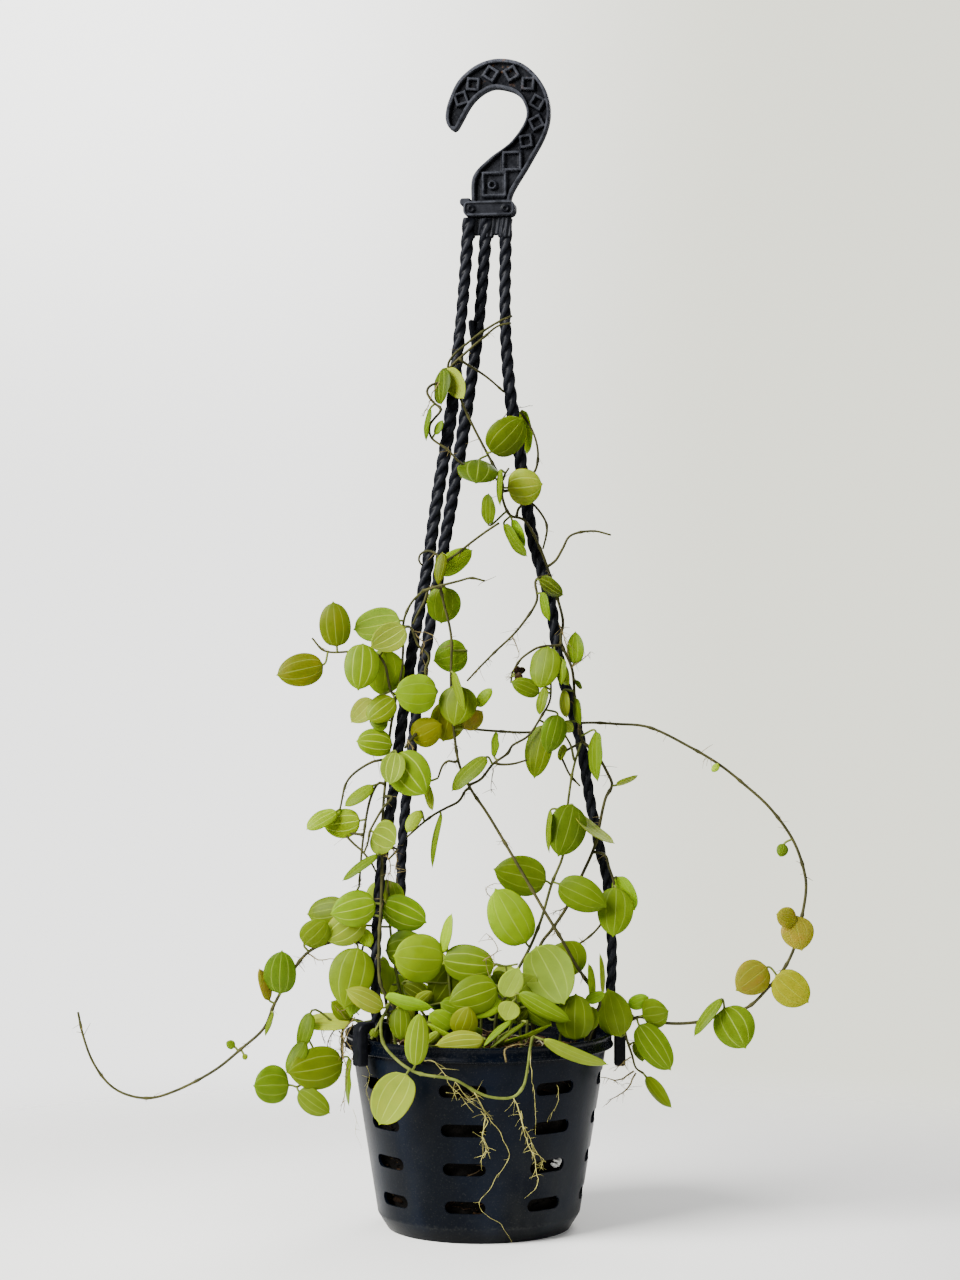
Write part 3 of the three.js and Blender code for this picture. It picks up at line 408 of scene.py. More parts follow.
def rounded(outline, radius, steps):
    """An outline with its corners rounded: each is a curve between points a radius before and after it,
    or just under half of its side where that is shorter. Both ends stay."""
    outline = np.asarray(outline, float)
    ways = [np.roll(outline, 1, 0) - outline, np.roll(outline, -1, 0) - outline]
    reach = [np.minimum(radius, 0.45 * np.linalg.norm(way, axis=1, keepdims=True)) for way in ways]
    first, last = (outline + far * unit(way) for far, way in zip(reach, ways))
    share = np.linspace(0, 1, steps + 1)[:, None, None]
    curve = (1 - share) ** 2 * first + 2 * share * (1 - share) * outline + share**2 * last
    middle = curve.transpose(1, 0, 2)[1:-1].reshape(-1, 2)
    return np.concatenate([outline[:1], middle, outline[-1:]])


def waves(places, size, seed):
    """A smooth random field of about -1 to 1: a sum of sines in random directions, with lumps of a size."""
    draw = np.random.default_rng(seed)
    ways = draw.normal(size=(12, places.shape[-1])) / size * 2.2
    starts = draw.uniform(0, 2 * np.pi, 12)
    return np.sin(places @ ways.T + starts).mean(-1) * 2


print("mesh and shape helpers ready")

# %% [markdown]
# ## Floor and light
# The picture has one seamless pale backdrop and soft light from the upper left. A wall would stand in the
# way of the views from behind, so the floor fades out into a plain background of the same grey. What the
# eye sees is bright, and what lights the part is a dimmer room, or black plastic would look grey.

# %% Floor
FLOOR_RADIUS = 1600
FLOOR_THICKNESS = 2
FLOOR_FADE = (0.16, 0.62)
FLOOR_COLOUR = colour("#FBFAF5")


def paint_floor():
    """Pale floor that fades out with distance from the pot, in metres."""
    made = bpy.data.materials.new("pale_floor")
    made.use_nodes = True
    tree = made.node_tree
    wire = Wire(tree)
    distance = wire.node("ShaderNodeVectorMath", {"operation": "LENGTH"}, {0: place_on(wire)}, output=1)
    clear = wire.node("ShaderNodeBsdfTransparent")
    solid = wire.node("ShaderNodeBsdfDiffuse", None, {"Color": FLOOR_COLOUR})
    both = wire.node("ShaderNodeMixShader", None, {0: distance.ramp(*FLOOR_FADE), 1: solid, 2: clear})
    tree.links.new(both.socket, tree.nodes["Material Output"].inputs["Surface"])
    return made


disc = lathe([(0, -FLOOR_THICKNESS), (FLOOR_RADIUS, -FLOOR_THICKNESS), (FLOOR_RADIUS, 0), (0, 0)], 64)
floor = build("floor", [patch(disc)], [paint_floor()])
print("floor radius in mm:", FLOOR_RADIUS)

# %% Background
BACKDROP_LEFT = colour("#FAFAF8")
BACKDROP_RIGHT = colour("#D3D3C4")
BACKDROP_TURN = (-0.08, 0.1)
BACKDROP_POWER = 2.75
UPPER_LEFT_GAIN = 0.44
GAIN_HEIGHT = (0.05, 0.25)
GAIN_SIDE = (0.16, -0.16)
ROOM_ABOVE = colour("#F4F6FF")
ROOM_BELOW = colour("#403F3C")
ROOM_HEIGHT = (-0.3, 0.9)
ROOM_POWER = 0.42

world = bpy.data.worlds.new("studio")
world.use_nodes = True
bpy.context.scene.world = world
sky = Wire(world.node_tree)
rightwards, height = split(sky, sky.node("ShaderNodeTexCoord", output=0), (0, 2))
# Painted light: the backdrop is painted brighter towards the upper left and darker towards the right, as the
# light from the upper left falls on it.
gain = 1 + height.ramp(*GAIN_HEIGHT) * rightwards.ramp(*GAIN_SIDE) * UPPER_LEFT_GAIN
backdrop = rightwards.ramp(*BACKDROP_TURN).mix(BACKDROP_LEFT, BACKDROP_RIGHT).times(BACKDROP_POWER * gain)
room = height.ramp(*ROOM_HEIGHT).mix(ROOM_BELOW, ROOM_ABOVE).times(ROOM_POWER)
shown = sky.node("ShaderNodeLightPath").mix(room, backdrop)
world.node_tree.links.new(shown.socket, world.node_tree.nodes["Background"].inputs["Color"])
print("the backdrop is", round(BACKDROP_POWER / ROOM_POWER, 1), "times as bright as the room")

# %% Lamps
LAMP_TARGET = (0, 0, 250)
LAMPS = {
    "key_lamp": {"place": (-1450, -1000, 1350), "size": 1300, "watts": 162},
    "fill_lamp": {"place": (1300, -1100, 700), "size": 900, "watts": 7},
    "back_lamp": {"place": (600, 1300, 1300), "size": 900, "watts": 26},
}


def lamp(name, place, size, watts):
    """A square soft lamp that faces the middle of the plant."""
    data = bpy.data.lights.new(name, "AREA")
    data.size = size * MM
    data.energy = watts
    made = bpy.data.objects.new(name, data)
    made.location = np.array(place) * MM
    aim = np.subtract(LAMP_TARGET, place) * MM
    made.rotation_euler = Vector(aim).to_track_quat("-Z", "Y").to_euler()
    bpy.context.scene.collection.objects.link(made)


for name, settings in LAMPS.items():
    lamp(name, **settings)
print("lamps:", ", ".join(LAMPS))

# %% [markdown]
# ## Leaves and stems
# Each leaf is a thick round blade with a short point, and each stem is thin and woody. They could be
# instanced from a few models, but every leaf of the picture has its own place, size and turn, so one
# formula takes those numbers for a whole plant at once. A blade is a lens-shaped loop of points that is
# carried from the petiole to the tip while its width swells and shrinks.

# %% Leaf and stem colours
# The tones are partly painted light and shade: leaves that sit in shade take lighter tones, such as fresh,
# light and bright, and leaves in full light take darker ones, such as dark and deep.
TONES = {
    "mid": "#5B7008",
    "fresh": "#7A980A",
    "dark": "#52660A",
    "pale": "#84941E",
    "yellow": "#787C0A",
    "olive": "#58640A",
    "bronze": "#7F7E1E",
    "veined": "#6E880A",
    "light": "#869624",
    "withered": "#2E2012",
    "deep": "#42500A",
    "banded": "#566C08",
    "bright": "#A4B434",
}
ROSY = {"bronze": 0.8, "olive": 0.25, "yellow": 0.1, "light": 0.25, "veined": 0.1}
STRIPED = {"pale": 0.4, "bronze": 0.35, "fresh": 0.6, "olive": 0.55, "veined": 1.4, "light": 1.4,
           "banded": 0.9, "bright": 0.8, "withered": 0}
USUALLY_STRIPED = 0.45
VEIN_OFF_MIDDLE = 0.52
VEIN_HALF_WIDTH = 0.045
VEIN_WANDER = 0.07


def paint_leaf(wire):
    """Three thin pale veins that run from base to tip, on a green that varies over a leaf and from leaf to
    leaf, partly as painted light and shade. The underside is paler, and some leaves are rosy along the edge."""
    across, along = split(wire, wire.node("ShaderNodeUVMap"), (0, 1))
    under, rosy, striped = (mark(wire, name) for name in ("under", "rosy", "striped"))
    base = tint(wire, "leaf_tint")
    off_middle = abs(across * 2 - 1)
    mottle = noise(wire, 6.0, 4.0)
    fine = noise(wire, 0.9, 2.0)
    wander = (noise(wire, 7.0, 1.0) - 0.5) * VEIN_WANDER
    from_vein = abs(off_middle + wander - VEIN_OFF_MIDDLE)
    midrib = off_middle.ramp(VEIN_HALF_WIDTH, 0.01) * along.ramp(1.0, 0.75)
    side_vein = from_vein.ramp(VEIN_HALF_WIDTH, 0.008) * along.ramp(0.0, 0.1) * along.ramp(1.0, 0.82)
    halo = from_vein.ramp(0.2, 0.0).most(off_middle.ramp(0.2, 0.0))
    veins = midrib.most(side_vein * 0.8)
    margin = off_middle.ramp(0.95, 0.995)
    face = (under * 0.35).mix(base, colour("#7C9034"))
    deep = face.times(0.68 + mottle * 0.27)
    panel = (0.25 + fine.ramp(0.35, 0.65) * 0.1 + mottle.ramp(0.3, 0.7) * 0.55).mix(deep, face)
    soft = (halo * striped * 0.15).mix(panel, colour("#7C9016"))
    vein = (veins * striped * 0.47).mix(soft, colour("#B2C656"))
    edge = (margin * (0.55 + rosy * 0.4)).mix(vein, rosy.mix(colour("#3A3A08"), colour("#5E2412")))
    blush = (rosy * (0.1 + mottle.ramp(0.4, 0.7) * 0.35)).mix(edge, colour("#86501C"))
    relief = mottle * 0.4 + fine * 0.03 - veins * 0.5
    return {
        "Base Color": blush,
        "Roughness": 0.36 + under * 0.15 + mottle * 0.14,
        "Normal": bump(wire, relief, 0.16),
    }


def paint_stem(wire):
    """Woody olive brown, greener on young shoots, with fine streaks."""
    young = mark(wire, "young")
    streak = noise(wire, 6.0, 3.0)
    old = streak.ramp(0.25, 0.75).mix(colour("#241F15"), colour("#403822"))
    new = streak.ramp(0.25, 0.75).mix(colour("#4C561C"), colour("#707A34"))
    return {
        "Base Color": young.mix(old, new),
        "Roughness": 0.5 + streak * 0.2,
        "Normal": bump(wire, streak, 0.1),
    }


leaf_skin = material("leaf_skin", paint_leaf, Subsurface_Weight=0.35, Subsurface_Scale=0.0025,
                     Subsurface_Radius=(0.7, 1.0, 0.1), Specular_IOR_Level=0.07)
stem_bark = material("stem_bark", paint_stem, Specular_IOR_Level=0.1)
print("leaf tones:", ", ".join(TONES))

# %% Leaf and stem sizes
STEM_RADIUS = 0.85
SIDE_STEM_RADIUS = 0.7
PETIOLE_RADIUS = 0.55
SHORTEST_PETIOLE = 3
STEM_SIDES = 8
BLADE_ARCH = 0.05
BLADE_CUP = 0.15
BLADE_HALF_THICKNESS = 0.55
ROOT_HEIGHT = 79
STEM_CLEARS_MIX = 92
LEAF_ROWS = 26
LEAF_COLUMNS = 24
JOINT_SPACING = 26
JOINT_SWELLING = 0.45
JOINT_REACH = 1.2
STEM_THINS_BY = 0.3
TO_EYE = np.array([0.0, -1.0, 0.0])
YOUNG = {"front_swag": 0.85, "climbing_stem_left": 0.2, "upright_stem": 0.35}
YOUNG_CROWN = 0.7
USUALLY_YOUNG = 0.15
print("leaf grid:", LEAF_ROWS, "by", LEAF_COLUMNS)


# %% Leaf blades
def blade_width(share, fullness):
    """Half the width of a blade, as a share of its most, at a share of its length: a power of the way from
    the base times a power of the way to the tip, and a short narrow point past the round end."""
    body = np.clip(share / 0.955, 0, 1)
    toe = 0.58 - 0.1 * fullness
    heel = 0.47 - 0.05 * fullness
    widest = heel / (heel + toe)
    most = widest**heel * (1 - widest) ** toe
    point = 0.2 * np.clip((1 - share) / 0.09, 0, 1) * (share > 0.3)
    return np.maximum(body**heel * (1 - body) ** toe / most, point)


def blades(foot, end, face, side, width, seed):
    """Leaf blades: a point is the arched middle line, plus a share of the half width to the side, lowered
    by the square of that share for the cup, plus half the thickness up or down, plus a small wave."""
    draw = np.random.default_rng(seed)
    count = len(foot)
    share = np.linspace(0, 1, LEAF_ROWS)[None, :, None]
    angle = np.linspace(0, 2 * np.pi, LEAF_COLUMNS + 1)[None, None, :]

    def drawn(low, high):
        """A random value for each blade."""
        return draw.uniform(low, high, count)[:, None, None]

    length = np.linalg.norm(end - foot, axis=1)[:, None, None]
    half = blade_width(share, drawn(-0.6, 1.0)) * width[:, None, None] / 2
    half = np.maximum(half, PETIOLE_RADIUS * (1 - share))
    out = np.cos(angle)
    thick = (BLADE_HALF_THICKNESS * (1 - share**8) + 0.05) * np.sin(angle)
    rise = BLADE_ARCH * length * 4 * share * (1 - share) - BLADE_CUP * half * out**2
    wave = np.sin(2 * np.pi * (share * drawn(1, 2) + drawn(0, 1)))
    rise = rise + drawn(0, 0.06) * half * np.abs(out) ** 3 * wave
    rise = rise - drawn(0, 0.05) * length * share**4 + drawn(-0.06, 0.06) * half * out * share
    middle = foot[:, None, None] + (end - foot)[:, None, None] * share[..., None]
    bend = drawn(-0.03, 0.03) * length * np.sin(np.pi * share)
    points = middle + side[:, None, None] * (out * half + bend)[..., None]
    points = points + face[:, None, None] * (rise + thick)[..., None]
    ends = [middle[:, :1], points[:, -1:].mean(2, keepdims=True)]
    first, last = (np.repeat(end, LEAF_COLUMNS + 1, 2) for end in ends)
    under = (np.sin(angle) < -0.05).astype(float)
    return np.concatenate([first, points, last], 1), (out + 1) / 2, capped(share), under


print("a blade's width at a half of its length:", round(float(blade_width(0.5, 0)), 3))


# %% Leaves with their stalks
def leaf_patches(stem_points, leaves, seed):
    """The blades and petioles of a plant. A petiole leaves the stem at its nearest point, on a curve with
    two handles. The upper face looks at the eye, turned by roll about the leaf's own length."""
    base, tip = (seen([leaf[at:at + 3] for leaf in leaves]) for at in (0, 3))
    width, roll = (np.array([leaf[at] for leaf in leaves], float) for at in (6, 7))
    tones = [leaf[8] for leaf in leaves]
    ahead = unit(tip - base)
    apart = np.linalg.norm(stem_points[None] - base[:, None], axis=-1)
    root = stem_points[apart.argmin(1)]
    foot = base + ahead * np.maximum(SHORTEST_PETIOLE - apart.min(1), 0)[:, None]
    flat = unit(TO_EYE - ahead * (ahead @ TO_EYE)[:, None])
    turn = np.radians(roll)[:, None]
    face = flat * np.cos(turn) + np.cross(ahead, flat) * np.sin(turn)
    side = np.cross(face, ahead)
    points, map_u, map_v, under = blades(foot, tip, face, side, width, seed)
    draw = np.random.default_rng(seed + 1)
    shade = draw.uniform(0.85, 1.15, (len(leaves), 1))
    hue = draw.uniform((0.9, 0.97, 1, 1), (1.1, 1.03, 1, 1), (len(leaves), 4))
    tints = np.clip(np.array([colour(TONES[tone]) for tone in tones]) * shade * hue, 0, 1)
    tints[:, 3] = 1
    rosy = np.array([ROSY.get(tone, 0) for tone in tones])
    striped = np.array([STRIPED.get(tone, USUALLY_STRIPED) for tone in tones])
    striped = striped * draw.uniform(0.6, 1.2, len(leaves))
    blade = patch(points, map_u, map_v, slot=1, under=under, rosy=rosy[:, None, None],
                  striped=striped[:, None, None], leaf_tint=tints[:, None, None])
    reach = np.linalg.norm(foot - root, axis=1)[:, None]
    away = unit(foot - root)
    share = np.linspace(0, 1, 8)[None, :, None]
    handles = [root, root + away * reach * 0.4, foot - ahead * reach * 0.35, foot + ahead * 0.8]
    weights = [(1 - share) ** 3, 3 * share * (1 - share) ** 2, 3 * share**2 * (1 - share), share**3]
    paths = sum(weight * handle[:, None] for weight, handle in zip(weights, handles))
    return [blade, tube_patch(paths, PETIOLE_RADIUS, STEM_SIDES, across=TO_EYE, young=1.0)]


print("shortest petiole in mm:", SHORTEST_PETIOLE)


# %% Stems and whole plants
def from_joint(along):
    """How far a place along a stem is from its nearest joint."""
    return np.abs((along / JOINT_SPACING + 0.5) % 1 - 0.5) * JOINT_SPACING


def stem_patches(root, stems, young):
    """The stems of a plant: smooth tubes that thin towards their ends, with a swelling at each joint. Each
    stem after the first starts at the nearest point of those before it."""
    rooted = np.array([[*root, ROOT_HEIGHT], [*root, STEM_CLEARS_MIX]], float)
    made = []
    points = np.zeros((0, 3))
    for index, places in enumerate(stems):
        route = seen(places)
        start = rooted if index == 0 else points[np.linalg.norm(points - route[0], axis=1).argmin()][None]
        path = line_through(np.concatenate([start, route]), 1.5)
        along = lengths_along(path)
        thick = (STEM_RADIUS if index == 0 else SIDE_STEM_RADIUS) * (1 - STEM_THINS_BY * along / along[-1])
        thick = thick * (1 + JOINT_SWELLING * np.exp(-((from_joint(along) / JOINT_REACH) ** 2)))
        growth = 0.4 * young * (along / along[-1]) ** 3
        youth = capped(np.clip(young + growth, 0, 1)[None])[..., None]
        made.append(tube_patch(path, thick, STEM_SIDES, young=youth))
        points = np.concatenate([points, path])
    clear = np.hypot(points[:, 0] - root[0], points[:, 1] - root[1]) > 1
    return made, points[clear]


def grow(name, plant, seed):
    """One plant with its stems, petioles and leaves in a single mesh that stands for its solid."""
    young = YOUNG.get(name, YOUNG_CROWN if name.startswith("crown") else USUALLY_YOUNG)
    stems, stem_points = stem_patches(plant["root"], plant["stems"], young)
    leaves = leaf_patches(stem_points, plant["leaves"], seed)
    made = build("leafy_" + name, stems + leaves, [stem_bark, leaf_skin])
    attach(made, "root")
    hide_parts(name)
    return made


print("joints are", JOINT_SPACING, "mm apart")

# %% [markdown]
# ## Where everything grows
# A random vine would never match the picture. Each plant is a list: where it stands in the
# mix, its stems as routes of seen places, and its leaves as rows of the place of their base and of their
# tip, their full width, their roll and their tone.

# %% The stem up the right strand
PLANTS = {}
PLANTS["climbing_stem_right"] = {"root": (26, -34), "stems": [
    [(30, 138, -34), (37, 148.5, -26), (44.5, 160, -14), (51.5, 175, -9), (58, 190, -6.5), (62, 208.5, -6),
     (63.5, 214, -6), (66.5, 220, -6), (64, 226.5, -6.5), (58, 236.5, -7), (51.5, 242.5, -7),
     (50, 251, -6.5), (48, 262.5, -6.5), (46.5, 278, -6.5), (41, 292, -6.5), (42, 301.5, -6.5),
     (39.5, 312.5, -6.5), (35.5, 325, -6), (30.5, 338.5, -6), (22.5, 352.5, -6), (15.5, 355, -7),
     (11.5, 365, -9), (12, 370, -9.5), (4.5, 385, -11), (-3.5, 400.5, -13), (-9, 412.5, -14),
     (-12.5, 421, -13.5), (-15.5, 429.5, -10.5), (-13.5, 434, -11.5), (-4.5, 442, -11), (1.5, 446.5, -10),
     (10.5, 452, -8), (16.5, 454.5, -6)],
    [(-15, 428, -12), (-4, 438.5, -13.5), (2, 443.5, -12.5), (9.5, 449.5, -10), (16, 451, -8)],
    [(-17, 422, -13.5), (-24.5, 419.5, -14.5), (-26, 416.5, -15), (-22.5, 411, -15.5), (-19, 408, -16),
     (-24.5, 400, -16.5), (-24, 394, -17), (-15.5, 387.5, -18), (-9, 381, -17.5), (5.5, 375, -13),
     (12, 370.5, -10)],
    [(14, 367, -8.5), (22, 371, -7), (28, 377, -5), (29.5, 384, -3), (29, 390, -1), (27, 396.5, 2),
     (24, 402, 5), (21, 406, 7)],
    [(20, 358.5, -6.5), (25, 361.5, -6.5), (33, 352.5, -6.5), (34, 347.5, -6.5), (32, 338, -6)],
    [(35.5, 330, -7.5), (38.5, 332.5, -9), (42, 338.5, -9), (45.5, 344.5, -9), (57, 347, -9), (66, 345, -9)],
    [(28.5, 322.5, -8), (29, 312.5, -9), (22, 301, -10), (16.5, 294.5, -11), (9, 287.5, -13),
     (0.5, 279, -15), (-6, 272, -16)],
    [(63, 185, -9), (65, 179, -10), (67.5, 170, -9.5), (64, 158, -11), (61, 150.5, -13), (53, 142.5, -19),
     (42.5, 137, -23)],
    [(-8.5, 432, -13), (-5.5, 430, -12), (-0.5, 427, -10), (4.5, 423.5, -8), (12.5, 416.5, -4)],
    [(37, 289.5, -9), (33.5, 289.5, -10), (29, 288.5, -11), (25.5, 286.5, -12), (21, 283, -12),
     (18, 278.5, -13), (16.5, 275.5, -13), (16, 271, -13)],
    [(41.5, 235, -8), (43, 230, -9), (45.5, 225, -10), (50.5, 219.5, -11)],
    [(12, 372.5, -16), (13, 375.5, -17), (15, 378.5, -17)],
], "leaves": [
    (-18.5, 427.5, -13, -19, 410, -18, 16, 58, "deep"), (-15.5, 428, -15, -7.5, 413, -21, 11, 205, "pale"),
    (-24.5, 408, -17, -27, 392, -18, 9, 74, "dark"), (-23, 394, -18, -18, 402.5, -20, 7, -55, "dark"),
    (6, 386.5, -14, 22, 403.5, -17, 18.5, 15, "dark"), (21.5, 408, 8, 24, 385, 11, 12, 50, "fresh"),
    (0, 382.5, -13, -1.5, 371, -27, 20.5, 0, "deep"), (13.5, 368.5, -11, 32, 370.5, -14, 18.5, 10, "light"),
    (10.5, 377.5, -19, 10, 359.5, -21, 13, 78, "dark"), (4.5, 350.5, -10, 4.5, 366, -14, 12, -55, "dark"),
    (12.5, 350, -11, 24, 334, -16, 12, 65, "dark"), (16, 353.5, -8, 23, 339, -10, 12, 68, "fresh"),
    (29, 323.5, -9, 42, 314.5, -13, 12, 50, "deep"), (31, 316.5, -10, 35, 302, -15, 10, 62, "mid"),
    (38.5, 284, -10, 44.5, 269.5, -14, 10, 50, "pale"), (47.5, 279, -6.5, 48, 297, -7, 15, -56, "mid"),
    (47.5, 273, -8, 51.5, 268, -10, 5, 62, "mid"), (48, 263.5, -9, 50.5, 250, -13, 9, 64, "dark"),
    (42, 267, -9, 43.5, 253.5, -13, 10, 60, "light"), (43, 251, -9, 47, 246.5, -11, 6, 200, "light"),
    (42, 240, -8, 40.5, 232, -11, 7, 55, "light"), (58.5, 246.5, -15, 58.5, 221.5, -19, 14, 62, "mid"),
    (69, 220, -8, 79.5, 225, -11, 9, 68, "pale"), (68.5, 169, -12, 67, 144, -18, 18, 0, "mid"),
    (69, 174, -7, 78, 157, -6, 12, 25, "fresh"), (28.5, 139, -37, 43, 110, -46, 25, 185, "mid"),
    (43, 142, -24, 47, 124, -24, 19, 10, "mid"), (16, 275, -13, 22, 272.5, -15, 6, 30, "withered"),
    (16.5, 276.5, -13, 23.5, 277.5, -11, 5, 40, "withered"),
    (17, 274, -13, 20, 279.5, -14, 4.5, 50, "withered"),
    (17.5, 274.5, -12, 21, 275.5, -9, 5, 20, "withered"),
]}
print("plants so far:", len(PLANTS))

# %% The diagonal and the upright stem
PLANTS["diagonal_stem"] = {"root": (52, -20), "stems": [
    [(57, 104, -22), (60.5, 111, -24), (54.5, 121, -27), (48.5, 130, -30), (41.5, 142.5, -32.5),
     (33, 156.5, -32), (27.5, 166, -30), (16.5, 185, -27), (4, 206, -23), (-3.5, 217, -22), (-9.5, 229, -22),
     (-12, 242.5, -22), (-14, 270.5, -22.5), (-14, 295, -23), (-18, 312.5, -24), (-19.5, 320, -25),
     (-19.5, 328, -24), (-8, 338, -20), (2.5, 346, -16.5), (10, 351, -14.5)],
    [(1, 223, -23.5), (7, 230.5, -22.5), (14.5, 236, -21.5), (16.5, 239.5, -20.5), (24.5, 244.5, -18.5),
     (31, 254, -17.5), (35.5, 262.5, -16), (36, 275, -14.5), (37, 281, -13.5)],
    [(9.5, 230.5, -22), (16.5, 230.5, -21), (24, 232.5, -20.5)],
    [(-6.5, 217.5, -22.5), (-10, 212, -23.5), (-16.5, 208.5, -25), (-22, 205.5, -26), (-27.5, 201.5, -28),
     (-36, 194, -33)],
    [(-20, 334, -23.5), (-23, 336.5, -22.5), (-26.5, 337, -21.5), (-29.5, 335, -20), (-30, 332, -18.5),
     (-28.5, 330, -17.5)],
    [(-12, 231.5, -24), (-15.5, 232, -25), (-18, 230, -25.5), (-20.5, 223.5, -25.5)],
    [(-24.5, 318.5, -25), (-27.5, 311.5, -26), (-31, 305, -27), (-33, 300.5, -28)],
], "leaves": [
    (-19.5, 326, -21, -3, 337.5, -18, 11.5, 20, "fresh"), (-17, 319, -20.5, -19, 300.5, -18, 17, 0, "mid"),
    (-6, 287, -19, -23, 282, -19, 16.5, 0, "mid"), (-14, 262.5, -20.5, -18, 241.5, -20, 17.5, 0, "yellow"),
    (-9.5, 269.5, -25.5, -12.5, 249.5, -28, 19.5, 10, "mid"), (-13, 276, -28, -7, 257, -37, 9, 62, "mid"),
    (-1, 259.5, -23.5, 6.5, 268.5, -24.5, 6.5, -25, "fresh"),
    (-7.5, 248.5, -22, 2, 257, -22.5, 10, 20, "bronze"), (-29.5, 207, -32, -36, 196, -37, 7, 20, "pale"),
    (-19, 205.5, -28, -24, 178.5, -31, 14, 80, "dark"), (3.5, 234, -27, -14, 217, -30, 13, 52, "dark"),
    (7.5, 234, -21, 8, 247, -19, 12, -74, "mid"), (-26, 220, -28, -23.5, 207, -30, 8, 55, "light"),
    (34.5, 289, -15, 30.5, 268, -19, 16, 20, "mid"), (30, 266, -17, 16, 272, -18.5, 9.5, 15, "dark"),
    (32.5, 268.5, -19, 30, 255, -23, 10, 60, "dark"), (39.5, 255, -20, 34.5, 235.5, -19, 13, -10, "dark"),
    (33, 250, -15, 27.5, 223, -17, 14, 15, "dark"), (41, 283, -16, 41, 270, -19, 10, 60, "mid"),
    (-18, 336, -26, -20.5, 320, -28, 6.5, 20, "olive"), (56.5, 111, -26, 55.5, 131, -30, 9, 66, "fresh"),
    (62, 116.5, -24, 60.5, 136, -26, 9, 74, "light"),
]}
PLANTS["upright_stem"] = {"root": (8, -35), "stems": [
    [(9, 106, -35.5), (13.5, 114.5, -34), (18, 125, -31), (25.5, 139, -26.5), (31, 152.5, -22.5),
     (36.5, 171, -18), (42, 185, -15), (44.5, 211, -13), (46.5, 225, -12.5), (48, 231.5, -12.5),
     (51, 241, -12.5)],
    [(47.5, 233, -13), (46, 239.5, -13), (43, 245, -13)],
], "leaves": [
    (33.5, 172, -20.5, 7, 178, -21, 20, 0, "mid"), (40, 170.5, -19.5, 64, 159, -23, 17, 0, "mid"),
    (23.5, 141, -28.5, 8, 168.5, -32, 22, 10, "fresh"), (35.5, 207, -16, 34.5, 186, -18, 15, 83, "mid"),
    (47, 210, -15.5, 39.5, 184, -23, 19, -5, "dark"), (47.5, 205.5, -14.5, 68, 190.5, -15, 14, 112, "light"),
]}
print("plants so far:", len(PLANTS))

# %% The looping stem
PLANTS["looping_stem"] = {"root": (55, -8), "stems": [
    [(58, 98, -9.5), (62, 101.5, -10.5), (67, 102.5, -11.5), (72, 100, -12), (79.5, 104, -12),
     (93, 101, -12), (109, 101.5, -12), (122, 105.5, -12), (134.5, 109, -12), (144.5, 118.5, -12),
     (152, 127.5, -12), (157, 137, -12), (161.5, 154.5, -11), (163.5, 167.5, -10), (163, 175, -9),
     (157.5, 191.5, -7), (145.5, 208.5, -5), (133, 220, -3), (120.5, 230, -1), (105.5, 239, 2),
     (84.5, 249, 7), (69, 250.5, 9), (51.5, 251, 9), (27.5, 246.5, 3), (8, 247, -5), (-3.5, 248, -10),
     (-14.5, 249, -13), (-25, 250.5, -19), (-32, 245, -27), (-37, 238.5, -31.5)],
    [(74, 92.5, -12.5), (76.5, 85, -12.5), (78.5, 78.5, -12.5), (82, 76, -12.5)],
], "leaves": [
    (70.5, 94.5, -15, 64.5, 118, -19, 17.5, 0, "mid"), (80, 104.5, -13, 95, 107, -17, 17, 20, "mid"),
    (80, 100, -14, 96, 77, -18, 15.5, 5, "banded"), (78, 91, -9, 82, 81.5, -7, 7, 45, "dark"),
    (82.5, 75.5, -13.5, 96, 58, -17, 12, 50, "mid"), (121, 113, -14.5, 107, 94.5, -18, 10, 62, "mid"),
    (122.5, 108.5, -14.5, 133.5, 88, -18, 20.5, 0, "banded"),
    (144, 129, -13, 128.5, 117, -16, 17.5, 0, "bronze"), (148, 125, -13.5, 165, 111, -17, 18, 5, "yellow"),
    (157.5, 154, -12, 161.5, 137, -16, 16.5, 0, "bronze"),
    (158.5, 152, -13.5, 148.5, 155.5, -17.5, 10.5, 10, "bronze"),
    (152.5, 190.5, -7.5, 150.5, 184, -9.5, 6, 0, "dark"),
    (-32.5, 247, -22, -27.5, 251, -24.5, 7, 10, "yellow"),
    (-33.5, 243, -25.5, -18.5, 250.5, -25, 15, 10, "yellow"),
    (119.5, 230.5, -4, 116.5, 226.5, -5, 4, 30, "fresh"), (75, 109.5, -12, 85, 114, -15, 8, 10, "fresh"),
]}
print("plants so far:", len(PLANTS))

